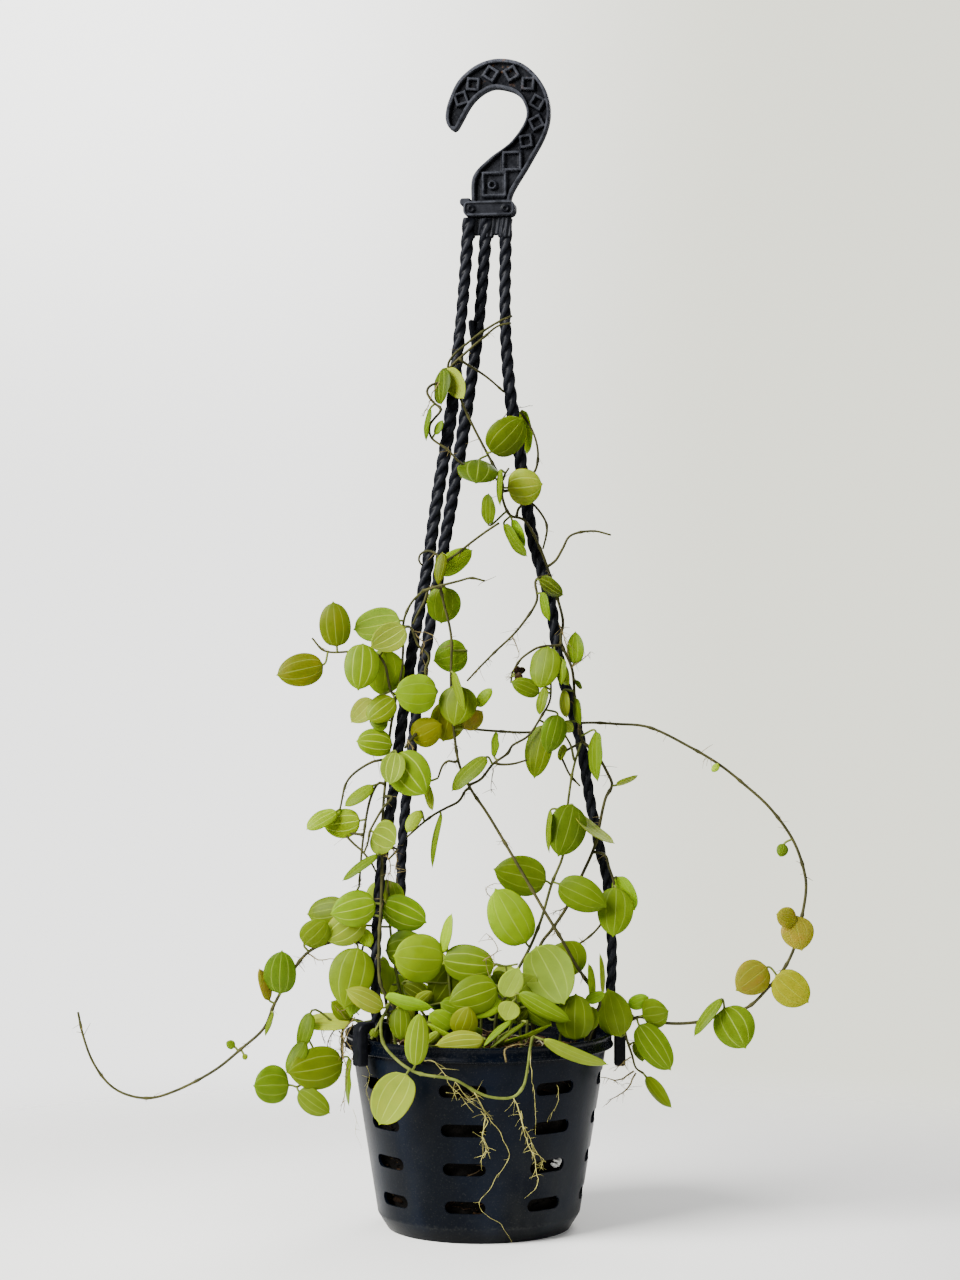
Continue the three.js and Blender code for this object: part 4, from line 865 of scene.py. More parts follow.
# %% The stem up the left strand
PLANTS["climbing_stem_left"] = {"root": (-31, -41), "stems": [
    [(-42, 108, -44.5), (-49, 120, -45.5), (-50, 140, -43), (-49, 160, -40.5), (-48.5, 180, -38),
     (-48, 207, -34), (-46.5, 225, -32), (-44.5, 246, -29.5), (-42, 261, -28.5), (-39, 275, -27.5),
     (-38, 286.5, -27), (-37.5, 302.5, -26), (-33.5, 311.5, -25), (-28, 317, -25)],
    [(-34.5, 299, -27), (-30.5, 290, -27.5), (-25, 284, -27), (-27, 276.5, -28), (-23, 270, -27)],
    [(-43.5, 266, -30), (-47, 280, -32), (-50, 284.5, -32), (-55.5, 287, -32), (-77, 287, -32),
     (-83.5, 293.5, -32)],
    [(-22, 319, -28), (-16, 320.5, -29), (-10, 322, -29), (-4, 323.5, -29), (3, 322, -29)],
    [(-49, 232.5, -32), (-54.5, 231, -32.5), (-65.5, 222.5, -33), (-69.5, 208, -35)],
    [(-50, 221, -33.5), (-54, 214, -34.5), (-58, 192.5, -37.5), (-60, 169, -40)],
    [(-66.5, 195.5, -36), (-63, 191, -37), (-58.5, 187, -38), (-53.5, 180.5, -39), (-51.5, 176.5, -39)],
    [(-43.5, 214, -35), (-48, 208.5, -36), (-53, 200, -37), (-54.5, 197, -38), (-55.5, 191.5, -39),
     (-57.5, 186, -40)],
    [(-41, 188, -37), (-45.5, 182.5, -39)],
], "leaves": [
    (-71, 288.5, -32.5, -73, 312, -34, 15.5, 0, "olive"),
    (-78, 280, -33.5, -101.5, 275, -38, 16.5, 10, "olive"),
    (-38, 302.5, -27.5, -63, 297.5, -30, 17.5, 195, "veined"),
    (-37, 298.5, -29.5, -54.5, 288.5, -36, 14.5, 190, "light"),
    (-58, 290.5, -34, -60.5, 267, -40, 17.5, 0, "veined"),
    (-47, 287.5, -28.5, -48.5, 264, -25.5, 19.5, 0, "fresh"),
    (-21, 266, -29, -42.5, 266, -33.5, 19.5, 0, "fresh"),
    (-53, 262.5, -29, -64, 251, -30.5, 12, 200, "light"),
    (-42.5, 263, -32, -56, 252.5, -36, 13, 10, "veined"),
    (-44, 252.5, -30.5, -55, 251.5, -31, 11, 30, "dark"),
    (-43, 240, -31.5, -61.5, 242, -37, 14, 15, "veined"),
    (-41.5, 236, -39, -44.5, 220, -43, 12.5, 190, "veined"),
    (-41, 235.5, -36, -26.5, 215, -40, 21, 0, "veined"), (-52, 220.5, -35, -67.5, 209.5, -38, 9, 45, "mid"),
    (-71, 207, -37, -86.5, 198, -42, 9.5, 30, "veined"),
    (-57.5, 202.5, -36, -78.5, 200, -34.5, 14.5, 10, "veined"),
    (-55, 197.5, -37.5, -41.5, 190.5, -41, 18, 190, "veined"),
    (-51, 185, -40.5, -68.5, 172, -43, 9, 62, "dark"), (-51, 161, -41, -74.5, 155.5, -44, 18, 0, "veined"),
    (-58, 155, -38.5, -76.5, 142, -38.5, 17, 0, "light"), (-67, 159, -37, -86.5, 155.5, -31, 14, 20, "dark"),
]}
print("plants so far:", len(PLANTS))

# %% The stems over the rim
PLANTS["trailing_stem"] = {"root": (-43, -23), "stems": [
    [(-49, 125, -27), (-54, 138.5, -30), (-64.5, 142, -34), (-75.5, 141, -36), (-86.5, 135.5, -38),
     (-102, 111, -40), (-107.5, 98.5, -40), (-119, 88, -40), (-132, 77.5, -40), (-152, 67, -40),
     (-164.5, 63.5, -40), (-175.5, 65, -40), (-184.5, 70, -40), (-193, 81.5, -40), (-198, 95, -40),
     (-200.5, 106.5, -40)],
], "leaves": [
    (-87.5, 140.5, -39, -76, 152, -42, 14.5, 10, "mid"), (-99.5, 115, -42, -98.5, 137.5, -44, 16, 0, "dark"),
    (-105, 112.5, -41, -110, 128.5, -42, 8, 50, "bronze"), (-103, 106, -43, -107, 94.5, -46, 7, 72, "dark"),
    (-60.5, 138.5, -37, -67.5, 108, -46, 22, 0, "mid"),
    (-59.5, 132.5, -34.5, -64.5, 103.5, -40, 14, 20, "mid"),
    (-121, 88.5, -40, -126.5, 91.5, -41, 4.5, 20, "mid"),
    (-118.5, 87.5, -40, -116.5, 82.5, -41, 4, 40, "mid"),
]}
PLANTS["left_rim_stem"] = {"root": (-49, -12), "stems": [
    [(-56, 100, -17), (-62.5, 102.5, -20.5), (-67.5, 99, -24), (-68.5, 92.5, -26), (-68.5, 87.5, -27),
     (-69, 82, -29), (-80, 75, -32), (-91, 69, -34)],
], "leaves": [
    (-64.5, 101.5, -25, -90, 100.5, -29, 13, 54, "bright"), (-84.5, 106, -32, -90, 86.5, -34, 9, 25, "dark"),
    (-87, 91.5, -35, -96.5, 76, -37.5, 9, 20, "dark"), (-68, 81.5, -31.5, -96, 76, -40, 21, 0, "mid"),
    (-95, 70, -35, -113, 69.5, -39, 19, 0, "mid"), (-91, 67.5, -35.5, -74.5, 55.5, -38, 12.5, 10, "dark"),
    (-65, 83.5, -30.5, -65.5, 59.5, -34, 15, 78, "mid"),
]}
PLANTS["front_swag"] = {"root": (-40, -40), "stems": [
    [(-44.5, 103, -44), (-47, 105, -49), (-49, 101, -54), (-48, 91.5, -56), (-43.5, 85, -59),
     (-32, 76.5, -65), (-12, 72.5, -69), (-2, 67, -68.5), (5.5, 64, -68), (17, 64, -67), (22, 69, -67.5),
     (24.5, 80, -68), (25.5, 88, -69), (26.5, 93, -67), (27.5, 94.5, -62)],
], "leaves": [
    (-32, 80, -66.5, -29.5, 106.5, -73, 11.5, 0, "veined"), (-36, 76, -65, -50, 50, -62, 19.5, 180, "light"),
    (32.5, 92.5, -64, 65, 79.5, -55, 9, 35, "pale"),
]}
print("plants so far:", len(PLANTS))

# %% The front of the crown
PLANTS["crown_stem_left"] = {"root": (-34, -20), "stems": [
    [(-42, 130, -26), (-44.5, 150, -27.5), (-45, 166, -28)],
], "leaves": [
    (-46, 172.5, -27, -48, 152.5, -21, 19, 0, "light"), (-48, 160.5, -30, -26, 151, -32, 17.5, 10, "veined"),
    (-46.5, 137, -29.5, -24.5, 139, -32, 19, 0, "dark"), (-47, 115, -26, -48, 135, -30, 9, 40, "bright"),
    (-59, 147.5, -34, -54, 139, -36, 8, 20, "fresh"), (-63.5, 103, -24, -74, 112, -27, 9, 20, "mid"),
    (-43.5, 120.5, -22, -49, 129.5, -24, 11, 30, "bright"),
    (-40.5, 112.5, -14, -43, 126.5, -16, 13, 10, "light"),
]}
PLANTS["crown_stem_front_left"] = {"root": (-23, -38), "stems": [
    [(-28, 106, -42), (-36, 111, -46), (-44, 112, -49)],
], "leaves": [
    (-46.5, 114, -50, -23, 108.5, -57, 12, 48, "fresh"),
    (-48, 108.5, -51, -66.5, 118, -55, 11.5, 30, "light"), (-39.5, 110, -47, -39, 92, -50, 11, 0, "dark"),
    (-40.5, 110.5, -38, -32.5, 103.5, -40, 9, 10, "light"),
    (-53.5, 94, -44, -51, 98.5, -45, 4.5, 10, "dark"),
]}
PLANTS["crown_stem_middle"] = {"root": (-11, -29), "stems": [
    [(-14, 112, -32), (-15.5, 130, -34), (-16, 142, -35)],
    [(7.5, 130.5, -42), (13, 129.5, -43), (19.5, 130.5, -43)],
], "leaves": [
    (-18, 132.5, -37, -43, 134.5, -43, 24, 0, "fresh"), (-18.5, 136.5, -36, -14, 156, -38, 11, -62, "fresh"),
    (-17.5, 132.5, -38, 8.5, 129.5, -43, 18.5, 0, "banded"), (-11, 129, -31, -23, 110, -31, 19, 0, "dark"),
    (-30.5, 110, -34, -23.5, 117, -38, 8, 20, "light"), (-37.5, 120, -30, -24, 112, -33, 11, 20, "deep"),
    (-12, 108.5, -24, -21.5, 124.5, -28, 20, 10, "dark"), (14.5, 117, -28, 7.5, 127, -30, 10, 20, "mid"),
]}
PLANTS["crown_stem_centre"] = {"root": (-5, -44), "stems": [
    [(-4, 100, -46), (0, 112, -45), (6, 121, -43)],
], "leaves": [
    (-10, 95, -49.5, -5, 109.5, -54, 13.5, 0, "yellow"), (-14, 98.5, -47.5, -25, 106, -50, 12, 0, "fresh"),
    (-10.5, 94.5, -45, 2, 97.5, -47, 7, 20, "mid"), (2.5, 92.5, -54, -22, 90, -58, 11, 30, "light"),
    (9, 119, -47, -15.5, 111, -49, 19, 5, "mid"), (-25.5, 100.5, -51, 2.5, 88, -55, 5.5, 55, "fresh"),
    (-26, 91, -50, -19, 97.5, -52, 6, 20, "light"), (15.5, 112.5, -38, 28.5, 125, -41, 17, 190, "pale"),
    (-5.5, 106.5, -36, -19.5, 111, -38, 12, 20, "mid"),
    (11.5, 111.5, -45, -9.5, 106, -47.5, 12, 15, "fresh"),
]}
PLANTS["crown_stem_right"] = {"root": (21, -44), "stems": [
    [(19.5, 104, -45), (18, 116, -45)],
    [(17, 98, -47), (10, 94, -51)],
], "leaves": [
    (8.5, 89.5, -53, 36.5, 100.5, -55, 9, 70, "mid"), (19.5, 116, -46.5, 45.5, 101.5, -52, 10, 20, "mid"),
    (12.5, 114.5, -46, 20, 129, -47, 12, 190, "bright"), (17, 112, -47, 13, 102, -49.5, 11, 190, "pale"),
    (24, 109, -42, 16, 101, -44, 7, 10, "dark"), (16, 102, -53, 2, 89, -58, 5.5, 60, "mid"),
    (23, 101, -53, 5, 88, -57, 3.6, 60, "deep"), (20.5, 111, -41, 36.5, 99, -44, 9.5, 20, "dark"),
    (40.5, 112.5, -36, 26, 111, -38, 13, 10, "mid"),
]}
PLANTS["crown_stem_far_right"] = {"root": (39, -34), "stems": [
    [(42, 98, -38), (46, 100, -40)],
], "leaves": [
    (48, 92.5, -41, 48.5, 116, -43, 18.5, 0, "dark"), (54.5, 109.5, -30, 55.5, 96.5, -32, 10, 10, "mid"),
    (53.5, 112, -30, 63, 116, -31, 6, 10, "fresh"),
]}
print("plants so far:", len(PLANTS))

# %% The back of the crown
PLANTS["crown_stem_back_left"] = {"root": (-20, 14), "stems": [
    [(-22, 118, 15), (-26, 134, 18)],
], "leaves": [
    (-24, 113, 14, -38, 117, 18, 14, 20, "dark"), (-20, 118, 17, -4, 124, 24, 17, 200, "deep"),
    (-27, 131, 19, -44, 139, 22, 17, 150, "mid"), (-25, 120, 19, -20, 138, 22, 16, 180, "bright"),
]}
PLANTS["crown_stem_back"] = {"root": (1, 36), "stems": [
    [(2, 112, 38), (6, 125, 42)],
], "leaves": [
    (0, 111, 38, -17, 116, 45, 16, 190, "dark"), (4, 112, 40, 20, 113, 48, 16, 170, "mid"),
    (5, 122, 43, -8, 134, 50, 17, 200, "dark"), (8, 121, 43, 19, 128, 49, 13, 160, "bright"),
    (9.5, 103.5, 20, 21.5, 112, 18, 12, 10, "mid"), (34.5, 103.5, 14, 44.5, 112.5, 12, 12, 10, "dark"),
]}
PLANTS["crown_stem_back_right"] = {"root": (24, 12), "stems": [
    [(26, 114, 14), (30, 128, 17)],
], "leaves": [
    (24, 113, 13, 8, 118, 14, 15, 10, "mid"), (28, 116, 16, 46, 118, 24, 18, 190, "mid"),
    (31, 127, 18, 49, 136, 21, 17, 160, "pale"), (31, 125, 22, 35, 138, 28, 13, 180, "mid"),
]}
print("plants so far:", len(PLANTS))

# %% Grow the plants
plants = [grow(name, plant, seed) for seed, (name, plant) in enumerate(PLANTS.items())]
print("plants:", len(plants), "with leaves:", sum(len(plant["leaves"]) for plant in PLANTS.values()))

# %% [markdown]
# ## The pot
# A thin moulded pot of black plastic with a banded rim and four rows of slots. The wall could be modelled
# flat and bent, but turning a profile is simpler, and the slots are then cut by prisms with round ends.

# %% Pot sizes
POT_HEIGHT = 97.5
RIM_RADIUS = 67
RIM_BAND = 7.1
RIM_WALL = 1.8
BODY_TOP_RADIUS = 63.5
BODY_FOOT_RADIUS = 50.5
FOOT_HEIGHT = 8
BASE_RADIUS = 45.5
BASE_RISE = 0.4
WALL = 1.6
FLOOR = 2
CORNER_RADIUS = 0.6
SLOT_COLUMNS = 8
SLOT_FIRST_AZIMUTH = -7.5
SLOT_ROW_HEIGHTS = (75.8, 56.6, 37.4, 18.6)
SLOT_TOP_WIDTH = 23.2
SLOT_FOOT_WIDTH = 19.8
SLOT_HEIGHT = 6.3
CUTTER_REACH = (36, 80)
DRAIN_HOLES = 8
DRAIN_RADIUS = 3.5
DRAIN_CIRCLE = 28
POT_SEGMENTS = 160
SHARP_ANGLE = 35
print("slots:", SLOT_COLUMNS * len(SLOT_ROW_HEIGHTS), "drain holes:", DRAIN_HOLES)


# %% Pot plastic
def paint_pot(wire):
    """Blue-black plastic with a painted sheen in broad upright bands, painted shade on the foot where it
    meets the floor, dust that lies thicker low down and to the right, fine scratches and a scuffed foot.
    Heights are in metres."""
    rightwards, height = split(wire, place_on(wire), (0, 2))
    cloud = noise(wire, 22, 5.0)
    speck = noise(wire, 1.3, 3.0)
    streak = noise(wire, 9, 3.0, stretch=(1, 1, 0.12))
    dust = cloud.ramp(0.45, 0.75) * 0.35 + speck.ramp(0.62, 0.75) * 0.5 + streak.ramp(0.55, 0.8) * 0.25
    low = height.ramp(0.03, 0.004)
    scratch = noise(wire, 2.4, 2.0, stretch=(1, 1, 3)).ramp(0.66, 0.72)
    foot_edge = abs(height - FOOT_HEIGHT * MM).ramp(0.0016, 0.0002) * speck.ramp(0.42, 0.62)
    band = height.ramp(0.0875, 0.0895)
    dots = noise(wire, 0.7, 2.0).ramp(0.6, 0.72)
    # Painted sheen: broad upright bands of a bluer black stand in for soft glossy highlight bands on the
    # wall.
    painted_sheen = noise(wire, 26, 2.0, stretch=(1, 1, 0.2)).ramp(0.35, 0.65)
    marks = foot_edge * 0.22 + scratch * 0.14 + dots * 0.32 + band * speck.ramp(0.5, 0.7) * 0.1
    smudge = rightwards.ramp(0.004, 0.04) * height.ramp(0.058, 0.03) * cloud.ramp(0.4, 0.62)
    amount = dust * (0.22 + low * 0.2) + marks + smudge * 0.2
    # Painted shade: below 8.5 mm the plastic is painted up to 60 percent darker, where the foot meets the
    # floor.
    plain = painted_sheen.mix(colour("#02050B"), colour("#050C18")).times(height.ramp(0.002, 0.0085) * 0.6 + 0.4)
    return {
        "Base Color": amount.mix(plain.times(1 - band * 0.45), colour("#323331")),
        "Roughness": 0.26 - band * 0.08 + amount * 0.5 + cloud * 0.12,
        "Normal": bump(wire, cloud * 0.6 + speck * 0.2, 0.2),
    }


pot_plastic = material("pot_plastic", paint_pot, Specular_IOR_Level=0.06)
print("pot plastic nodes:", len(pot_plastic.node_tree.nodes))


# %% Pot profile and cutters
def pot_profile():
    """The pot's section, outside up and inside down, with its edges rounded."""
    band = POT_HEIGHT - RIM_BAND
    body, rim, inner = BODY_TOP_RADIUS, RIM_RADIUS, RIM_RADIUS - RIM_WALL
    foot = [(0, BASE_RISE), (30, BASE_RISE), (BASE_RADIUS, 0), (BODY_FOOT_RADIUS, FOOT_HEIGHT)]
    shoulder = [(body - 0.9, band - 6), (body - 0.2, band - 1.2), (body, band - 0.4)]
    lip = [(rim + 0.1, band), (rim + 0.1, band + 1.2), (rim - 0.7, band + 1.9), (rim - 0.7, POT_HEIGHT - 2)]
    lip += [(rim, POT_HEIGHT - 1.3), (rim, POT_HEIGHT), (inner, POT_HEIGHT), (inner - 0.3, band + 1.6)]
    inside = [(body - WALL, band - 1), (BODY_FOOT_RADIUS - WALL, FOOT_HEIGHT)]
    inside += [(BASE_RADIUS - WALL, FLOOR), (0, FLOOR)]
    return rounded(foot + shoulder + lip + inside, CORNER_RADIUS, 4)


def prism(outline, low, high):
    """A flat outline carried from low to high along the third axis, closed in the middle of both ends."""
    ring = np.concatenate([outline, outline[:1]])
    middle = np.broadcast_to(outline.mean(0), ring.shape)
    rows = [(middle, low), (ring, low), (ring, high), (middle, high)]
    return np.stack([np.column_stack([flat, np.full(len(flat), at)]) for flat, at in rows])


def slot_cutters():
    """A prism with round ends for each slot, laid through the wall at its azimuth."""
    angle = np.linspace(-np.pi / 2, np.pi / 2, 9)
    radius = SLOT_HEIGHT / 2
    turns = SLOT_FIRST_AZIMUTH + np.arange(SLOT_COLUMNS) * 360 / SLOT_COLUMNS
    made = []
    for row, height in enumerate(SLOT_ROW_HEIGHTS):
        share = row / (len(SLOT_ROW_HEIGHTS) - 1)
        reach = (SLOT_TOP_WIDTH + (SLOT_FOOT_WIDTH - SLOT_TOP_WIDTH) * share) / 2 - radius
        half = np.stack([reach + radius * np.cos(angle), radius * np.sin(angle)], -1)
        across, up, out = np.moveaxis(prism(np.concatenate([half, -half]), *CUTTER_REACH), -1, 0)
        slot = np.stack([across, -out, up + height], -1)
        made += [turned_on(slot, turn) for turn in turns]
    return made


def drain_cutters():
    """An upright round prism through the floor for each drain hole."""
    angle = np.linspace(0, 2 * np.pi, 24, endpoint=False)
    circle = np.stack([DRAIN_CIRCLE + DRAIN_RADIUS * np.cos(angle), DRAIN_RADIUS * np.sin(angle)], -1)
    return [turned_on(prism(circle, -5, 5), hole * 360 / DRAIN_HOLES) for hole in range(DRAIN_HOLES)]


cutters = slot_cutters() + drain_cutters()
print("points in the profile:", len(pot_profile()), "cutters:", len(cutters))

# %% Cut the pot
pot = build("nursery_pot", [patch(lathe(pot_profile(), POT_SEGMENTS))], [pot_plastic], sharp=SHARP_ANGLE)
prisms = build("nursery_pot_cutters", [patch(cutter) for cutter in cutters], [])
modifier = pot.modifiers.new("slots", "BOOLEAN")
modifier.operation = "DIFFERENCE"
modifier.solver = "EXACT"
modifier.object = prisms
pot.data = bpy.data.meshes.new_from_object(pot.evaluated_get(bpy.context.evaluated_depsgraph_get()))
pot.modifiers.clear()
bpy.data.objects.remove(prisms)
pot.data.polygons.foreach_set("use_smooth", np.ones(len(pot.data.polygons), bool))
pot.data.set_sharp_from_angle(angle=np.radians(SHARP_ANGLE))
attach(pot, "root")
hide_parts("pot")
print("pot faces:", len(pot.data.polygons))

# %% [markdown]
# ## The potting mix
# Coarse brown husk with fibres. A lump of noise alone looks like soil from a mine, so a rough body is
# turned to the inside of the pot, and chips and fibres are strewn over its top and behind the slots.
# The body and most pieces behind the slots are painted near black: painted shade inside the pot.

# %% Mix sizes and colours
MIX_EDGE_HEIGHT = 86.5
MIX_TOP = [(0, 89.5), (40, 88.3)]
WALL_CLEARANCE = 0.5
BODY_CLEARANCE = 1
LUMP_START = 1.5
LUMP_DEPTH = 2.5
LUMPS_OFF_AXIS = 6
LUMPS_ON_TOP = 80
STREWN_RADIUS = 57
CHIP_COUNT = 420
CHIP_SIZES = (3, 1.2, 0.6), (9, 3.5, 1.3)
CHIP_COLOURS = ("#3A2815", "#4C341C", "#241809", "#6B4C28", "#2E1F10")
FIBRE_COUNT = 150
FIBRE_REACH = (4, 16)
FIBRE_RADIUS = (0.12, 0.3)
FIBRE_COLOURS = ("#8C6A42", "#B09468", "#5A4028", "#D8CFA8")
# Painted shade: chips behind the slots are darkened by this factor, as shade falls inside the pot.
WALL_CHIP_PAINTED_SHADE = 0.06
# Painted shade: fibres behind the slots are darkened by this factor, as shade falls inside the pot.
WALL_FIBRE_PAINTED_SHADE = 0.25
FLAKE_SIZES = (3.2, 2.2, 0.3), (4.2, 3, 0.5)
PALE_FLAKES = [(38.5, 31.8, -37), (39.8, 32, -36), (37.5, 30, -37.5), (39.3, 30.2, -36.5)]


def paint_mix(wire):
    """Each chip's own brown, darker and lighter with fine grain. The body and most pieces behind the slots
    carry painted shade: a near-black brown.
    """
    grain = noise(wire, 1.6, 5.0)
    return {
        "Base Color": tint(wire, "chip_tint").times(0.2 + grain * 0.8),
        "Roughness": 0.9,
        "Normal": bump(wire, grain, 0.6),
    }


mix_husk = material("mix_husk", paint_mix, Specular_IOR_Level=0.1)
print("chips:", 2 * CHIP_COUNT, "fibres:", 2 * FIBRE_COUNT)


# %% The rough body
def wall_inside(height):
    """The radius of the mix at a height: that of the wall's inside, less a clearance."""
    share = (height - FOOT_HEIGHT) / (POT_HEIGHT - RIM_BAND - 1 - FOOT_HEIGHT)
    return BODY_FOOT_RADIUS + (BODY_TOP_RADIUS - BODY_FOOT_RADIUS) * share - WALL - WALL_CLEARANCE


def mix_body():
    """A turned body that fills the pot, with its skin pushed inwards by random lumps. Its near-black brown
    is painted shade inside the pot.
    """
    foot = FLOOR + 0.4
    sides = [(wall_inside(height), height) for height in (FOOT_HEIGHT, MIX_EDGE_HEIGHT)]
    profile = [(0, foot), (BASE_RADIUS - WALL - BODY_CLEARANCE, foot), *sides, *reversed(MIX_TOP)]
    fine = even(np.column_stack([np.array(profile, float), np.zeros(len(profile))]), 1.6)[:, :2]
    grid = lathe(fine, 200)
    lumps = waves(grid, 5.0, 5) + 0.6 * waves(grid, 2.2, 6)
    inwards = LUMP_START + np.clip(0.5 + 0.5 * lumps, 0, 1.6) * LUMP_DEPTH
    radius = np.hypot(grid[..., 0], grid[..., 1])
    share = inwards * (radius > LUMPS_OFF_AXIS) / np.maximum(radius, LUMPS_OFF_AXIS)
    grid[..., :2] *= (1 - share)[..., None]
    grid[..., 2] -= np.where(grid[..., 2] > LUMPS_ON_TOP, 0.8 * inwards, 0)
    grid[:, -1] = grid[:, 0]
    # Painted shade: the body is painted near black, as shade falls inside the pot.
    return patch(grid, chip_tint=np.reshape(colour("#0A0704"), (1, 1, 1, 4)))


print("radius of the mix at the slots:", [round(wall_inside(height), 1) for height in SLOT_ROW_HEIGHTS])


# %% Chips, fibres and flakes
def tints_of(count, draw, shades):
    """A shade for each piece, a little darker or lighter, laid out to spread over its grid."""
    picked = np.array([colour(text) for text in shades])[draw.integers(0, len(shades), count)]
    return np.clip(picked * draw.uniform(0.7, 1.25, (count, 1)), 0, 1)[:, None, None]


def chips(centre, size, ways, draw):
    """Flat splinters: a loop of six points carried over four rows along each splinter's own way."""
    count = len(centre)
    share = np.linspace(-0.5, 0.5, 4)[None, :, None]
    angle = np.linspace(0, 2 * np.pi, 7)[None, None, :]
    ahead = unit(ways)
    side = unit(np.cross(ahead, draw.normal(size=(count, 3))))
    face = np.cross(ahead, side)
    swell = (1 - 1.6 * share**2) * draw.uniform(0.75, 1.2, (count, 4, 7))
    swell[..., -1] = swell[..., 0]
    long, wide, thick = size.T[..., None, None]
    points = centre[:, None, None] + ahead[:, None, None] * (share * long + 0 * angle)[..., None]
    points = points + side[:, None, None] * (np.cos(angle) * wide / 2 * swell)[..., None]
    points = points + face[:, None, None] * (np.sin(angle) * thick / 2 * swell)[..., None]
    ends = [np.repeat(points[:, at, None].mean(2, keepdims=True), 7, 2) for at in (0, -1)]
    return np.concatenate([ends[0], points, ends[1]], 1)


def strewn(count, draw):
    """Places on top of the mix, and just inside the wall at the heights of the slots."""
    turn = draw.uniform(0, 2 * np.pi, (2, count))
    radius = STREWN_RADIUS * np.sqrt(draw.uniform(0, 1, count))
    rise = np.interp(radius, *zip(*MIX_TOP, (60, MIX_EDGE_HEIGHT)))
    top = [radius * np.cos(turn[0]), radius * np.sin(turn[0]), rise + draw.uniform(-0.8, 1.0, count)]
    height = draw.choice(SLOT_ROW_HEIGHTS, count) + draw.uniform(-5, 5, count)
    radius = wall_inside(height) - draw.uniform(2.0, 5.0, count)
    wall = [radius * np.cos(turn[1]), radius * np.sin(turn[1]), height]
    return np.stack(top, -1), np.stack(wall, -1)


def round_the_axis(places, spread, draw):
    """Ways square to the radius, tilted at random."""
    return np.stack([-places[:, 1], places[:, 0], draw.normal(0, spread, len(places))], -1)


def chip_patches(draw):
    """Splinters in every way on top, and round the axis behind the slots, where most are painted darker as
    painted shade inside the pot.
    """
    top, wall = strewn(CHIP_COUNT, draw)
    made = []
    for places in (top, wall):
        size = draw.uniform(*CHIP_SIZES, (CHIP_COUNT, 3))
        around = round_the_axis(places, 14, draw)
        ways = around if places is wall else draw.normal(size=(CHIP_COUNT, 3)) * (1, 1, 0.25)
        grid = chips(places, size, ways, draw)
        tints = tints_of(CHIP_COUNT, draw, CHIP_COLOURS)
        if places is wall:
            # Painted shade: most chips behind the slots are painted near black, and a few keep some brown.
            tints = tints * (WALL_CHIP_PAINTED_SHADE + 0.9 * draw.uniform(0, 1, (CHIP_COUNT, 1, 1, 1)) ** 5)
        made.append(patch(grid, chip_tint=tints))
    return made


def fibre_patch(draw):
    """Thin crooked fibres and pale root ends over the top and behind the slots, where they are painted
    darker as painted shade.
    """
    top, wall = strewn(FIBRE_COUNT, draw)
    starts = np.concatenate([top + (0, 0, 0.6), wall])
    count = len(starts)
    around = unit(round_the_axis(starts, 10, draw))
    reach = draw.uniform(*FIBRE_REACH, count)[:, None, None]
    share = np.linspace(-0.5, 0.5, 7)[None, :, None]
    curl = draw.normal(0, 0.12, (count, 1, 3)) * np.cos(np.pi * share) + draw.normal(0, 0.03, (count, 7, 3))
    paths = starts[:, None] + around[:, None] * share * reach + curl * reach
    radial = np.hypot(paths[..., 0], paths[..., 1])
    limit = wall_inside(np.clip(paths[..., 2], FOOT_HEIGHT, MIX_EDGE_HEIGHT)) - 0.4
    paths[..., :2] *= np.minimum(1, limit / radial)[..., None]
    grid = tubes(paths, draw.uniform(*FIBRE_RADIUS, count)[:, None], 4)
    tints = tints_of(count, draw, FIBRE_COLOURS)
    # Painted shade: the fibres behind the slots are painted darker.
    tints[FIBRE_COUNT:] *= WALL_FIBRE_PAINTED_SHADE
    return patch(grid, chip_tint=tints)


def flake_patch():
    """A few pale broken flakes that show in one slot."""
    draw = np.random.default_rng(8)
    places = seen(PALE_FLAKES)
    size = draw.uniform(*FLAKE_SIZES, places.shape)
    ways = draw.normal(size=places.shape) * (1, 0.3, 1)
    return patch(chips(places, size, ways, draw), chip_tint=np.reshape(colour("#F2F2EE"), (1, 1, 1, 4)))


draw = np.random.default_rng(11)
mix = build("husk_mix", [mix_body(), *chip_patches(draw), fibre_patch(draw), flake_patch()], [mix_husk])
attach(mix, "root")
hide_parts("potting_mix")
print("mix faces:", len(mix.data.polygons))

# %% [markdown]
# ## The hanger
# One black moulding on the real thing: a flat hook with raised rims and a row of diamonds, a clasp bar, a
# short comb and three strands that look like twisted rope. The hook is a height over a ribbon between its
# two edges. The strands could be three wires each, but one tube whose section has three lobes that turn
# with length gives the same grooves.

# %% Hanger plastic
HOOK_TURN = -9
HANGER_MIDDLE = 5


def paint_hanger(wire):
    """Near-black plastic, worn grey where a piece is proud and painted lighter in the open lower part of the
    hook's web as painted light, with fine dust and rust-brown on the crown.
    """
    wear = mark(wire, "wear")
    cloud = noise(wire, 3.5, 4.0)
    speck = noise(wire, 0.9, 2.0)
    height = split(wire, place_on(wire), (2,))[0]
    crown = height.ramp(0.562, 0.58)
    patchy = 0.2 + cloud.ramp(0.3, 0.62) * 0.4 + crown * speck.ramp(0.3, 0.6) * 0.6
    # The worn amount also carries painted light: the lighter open lower part of the hook's web.
    worn = wear * patchy + speck.ramp(0.6, 0.8) * 0.1
    rust = crown * cloud.ramp(0.6, 0.72) * 0.5
    plain = worn.mix(colour("#06070C"), colour("#505259"))
    return {
        "Base Color": rust.mix(plain, colour("#6A4A2C")),
        "Roughness": 0.34 + worn * 0.35 + cloud * 0.12,
        "Normal": bump(wire, cloud * 0.6 + speck * 0.4, 0.15),
    }


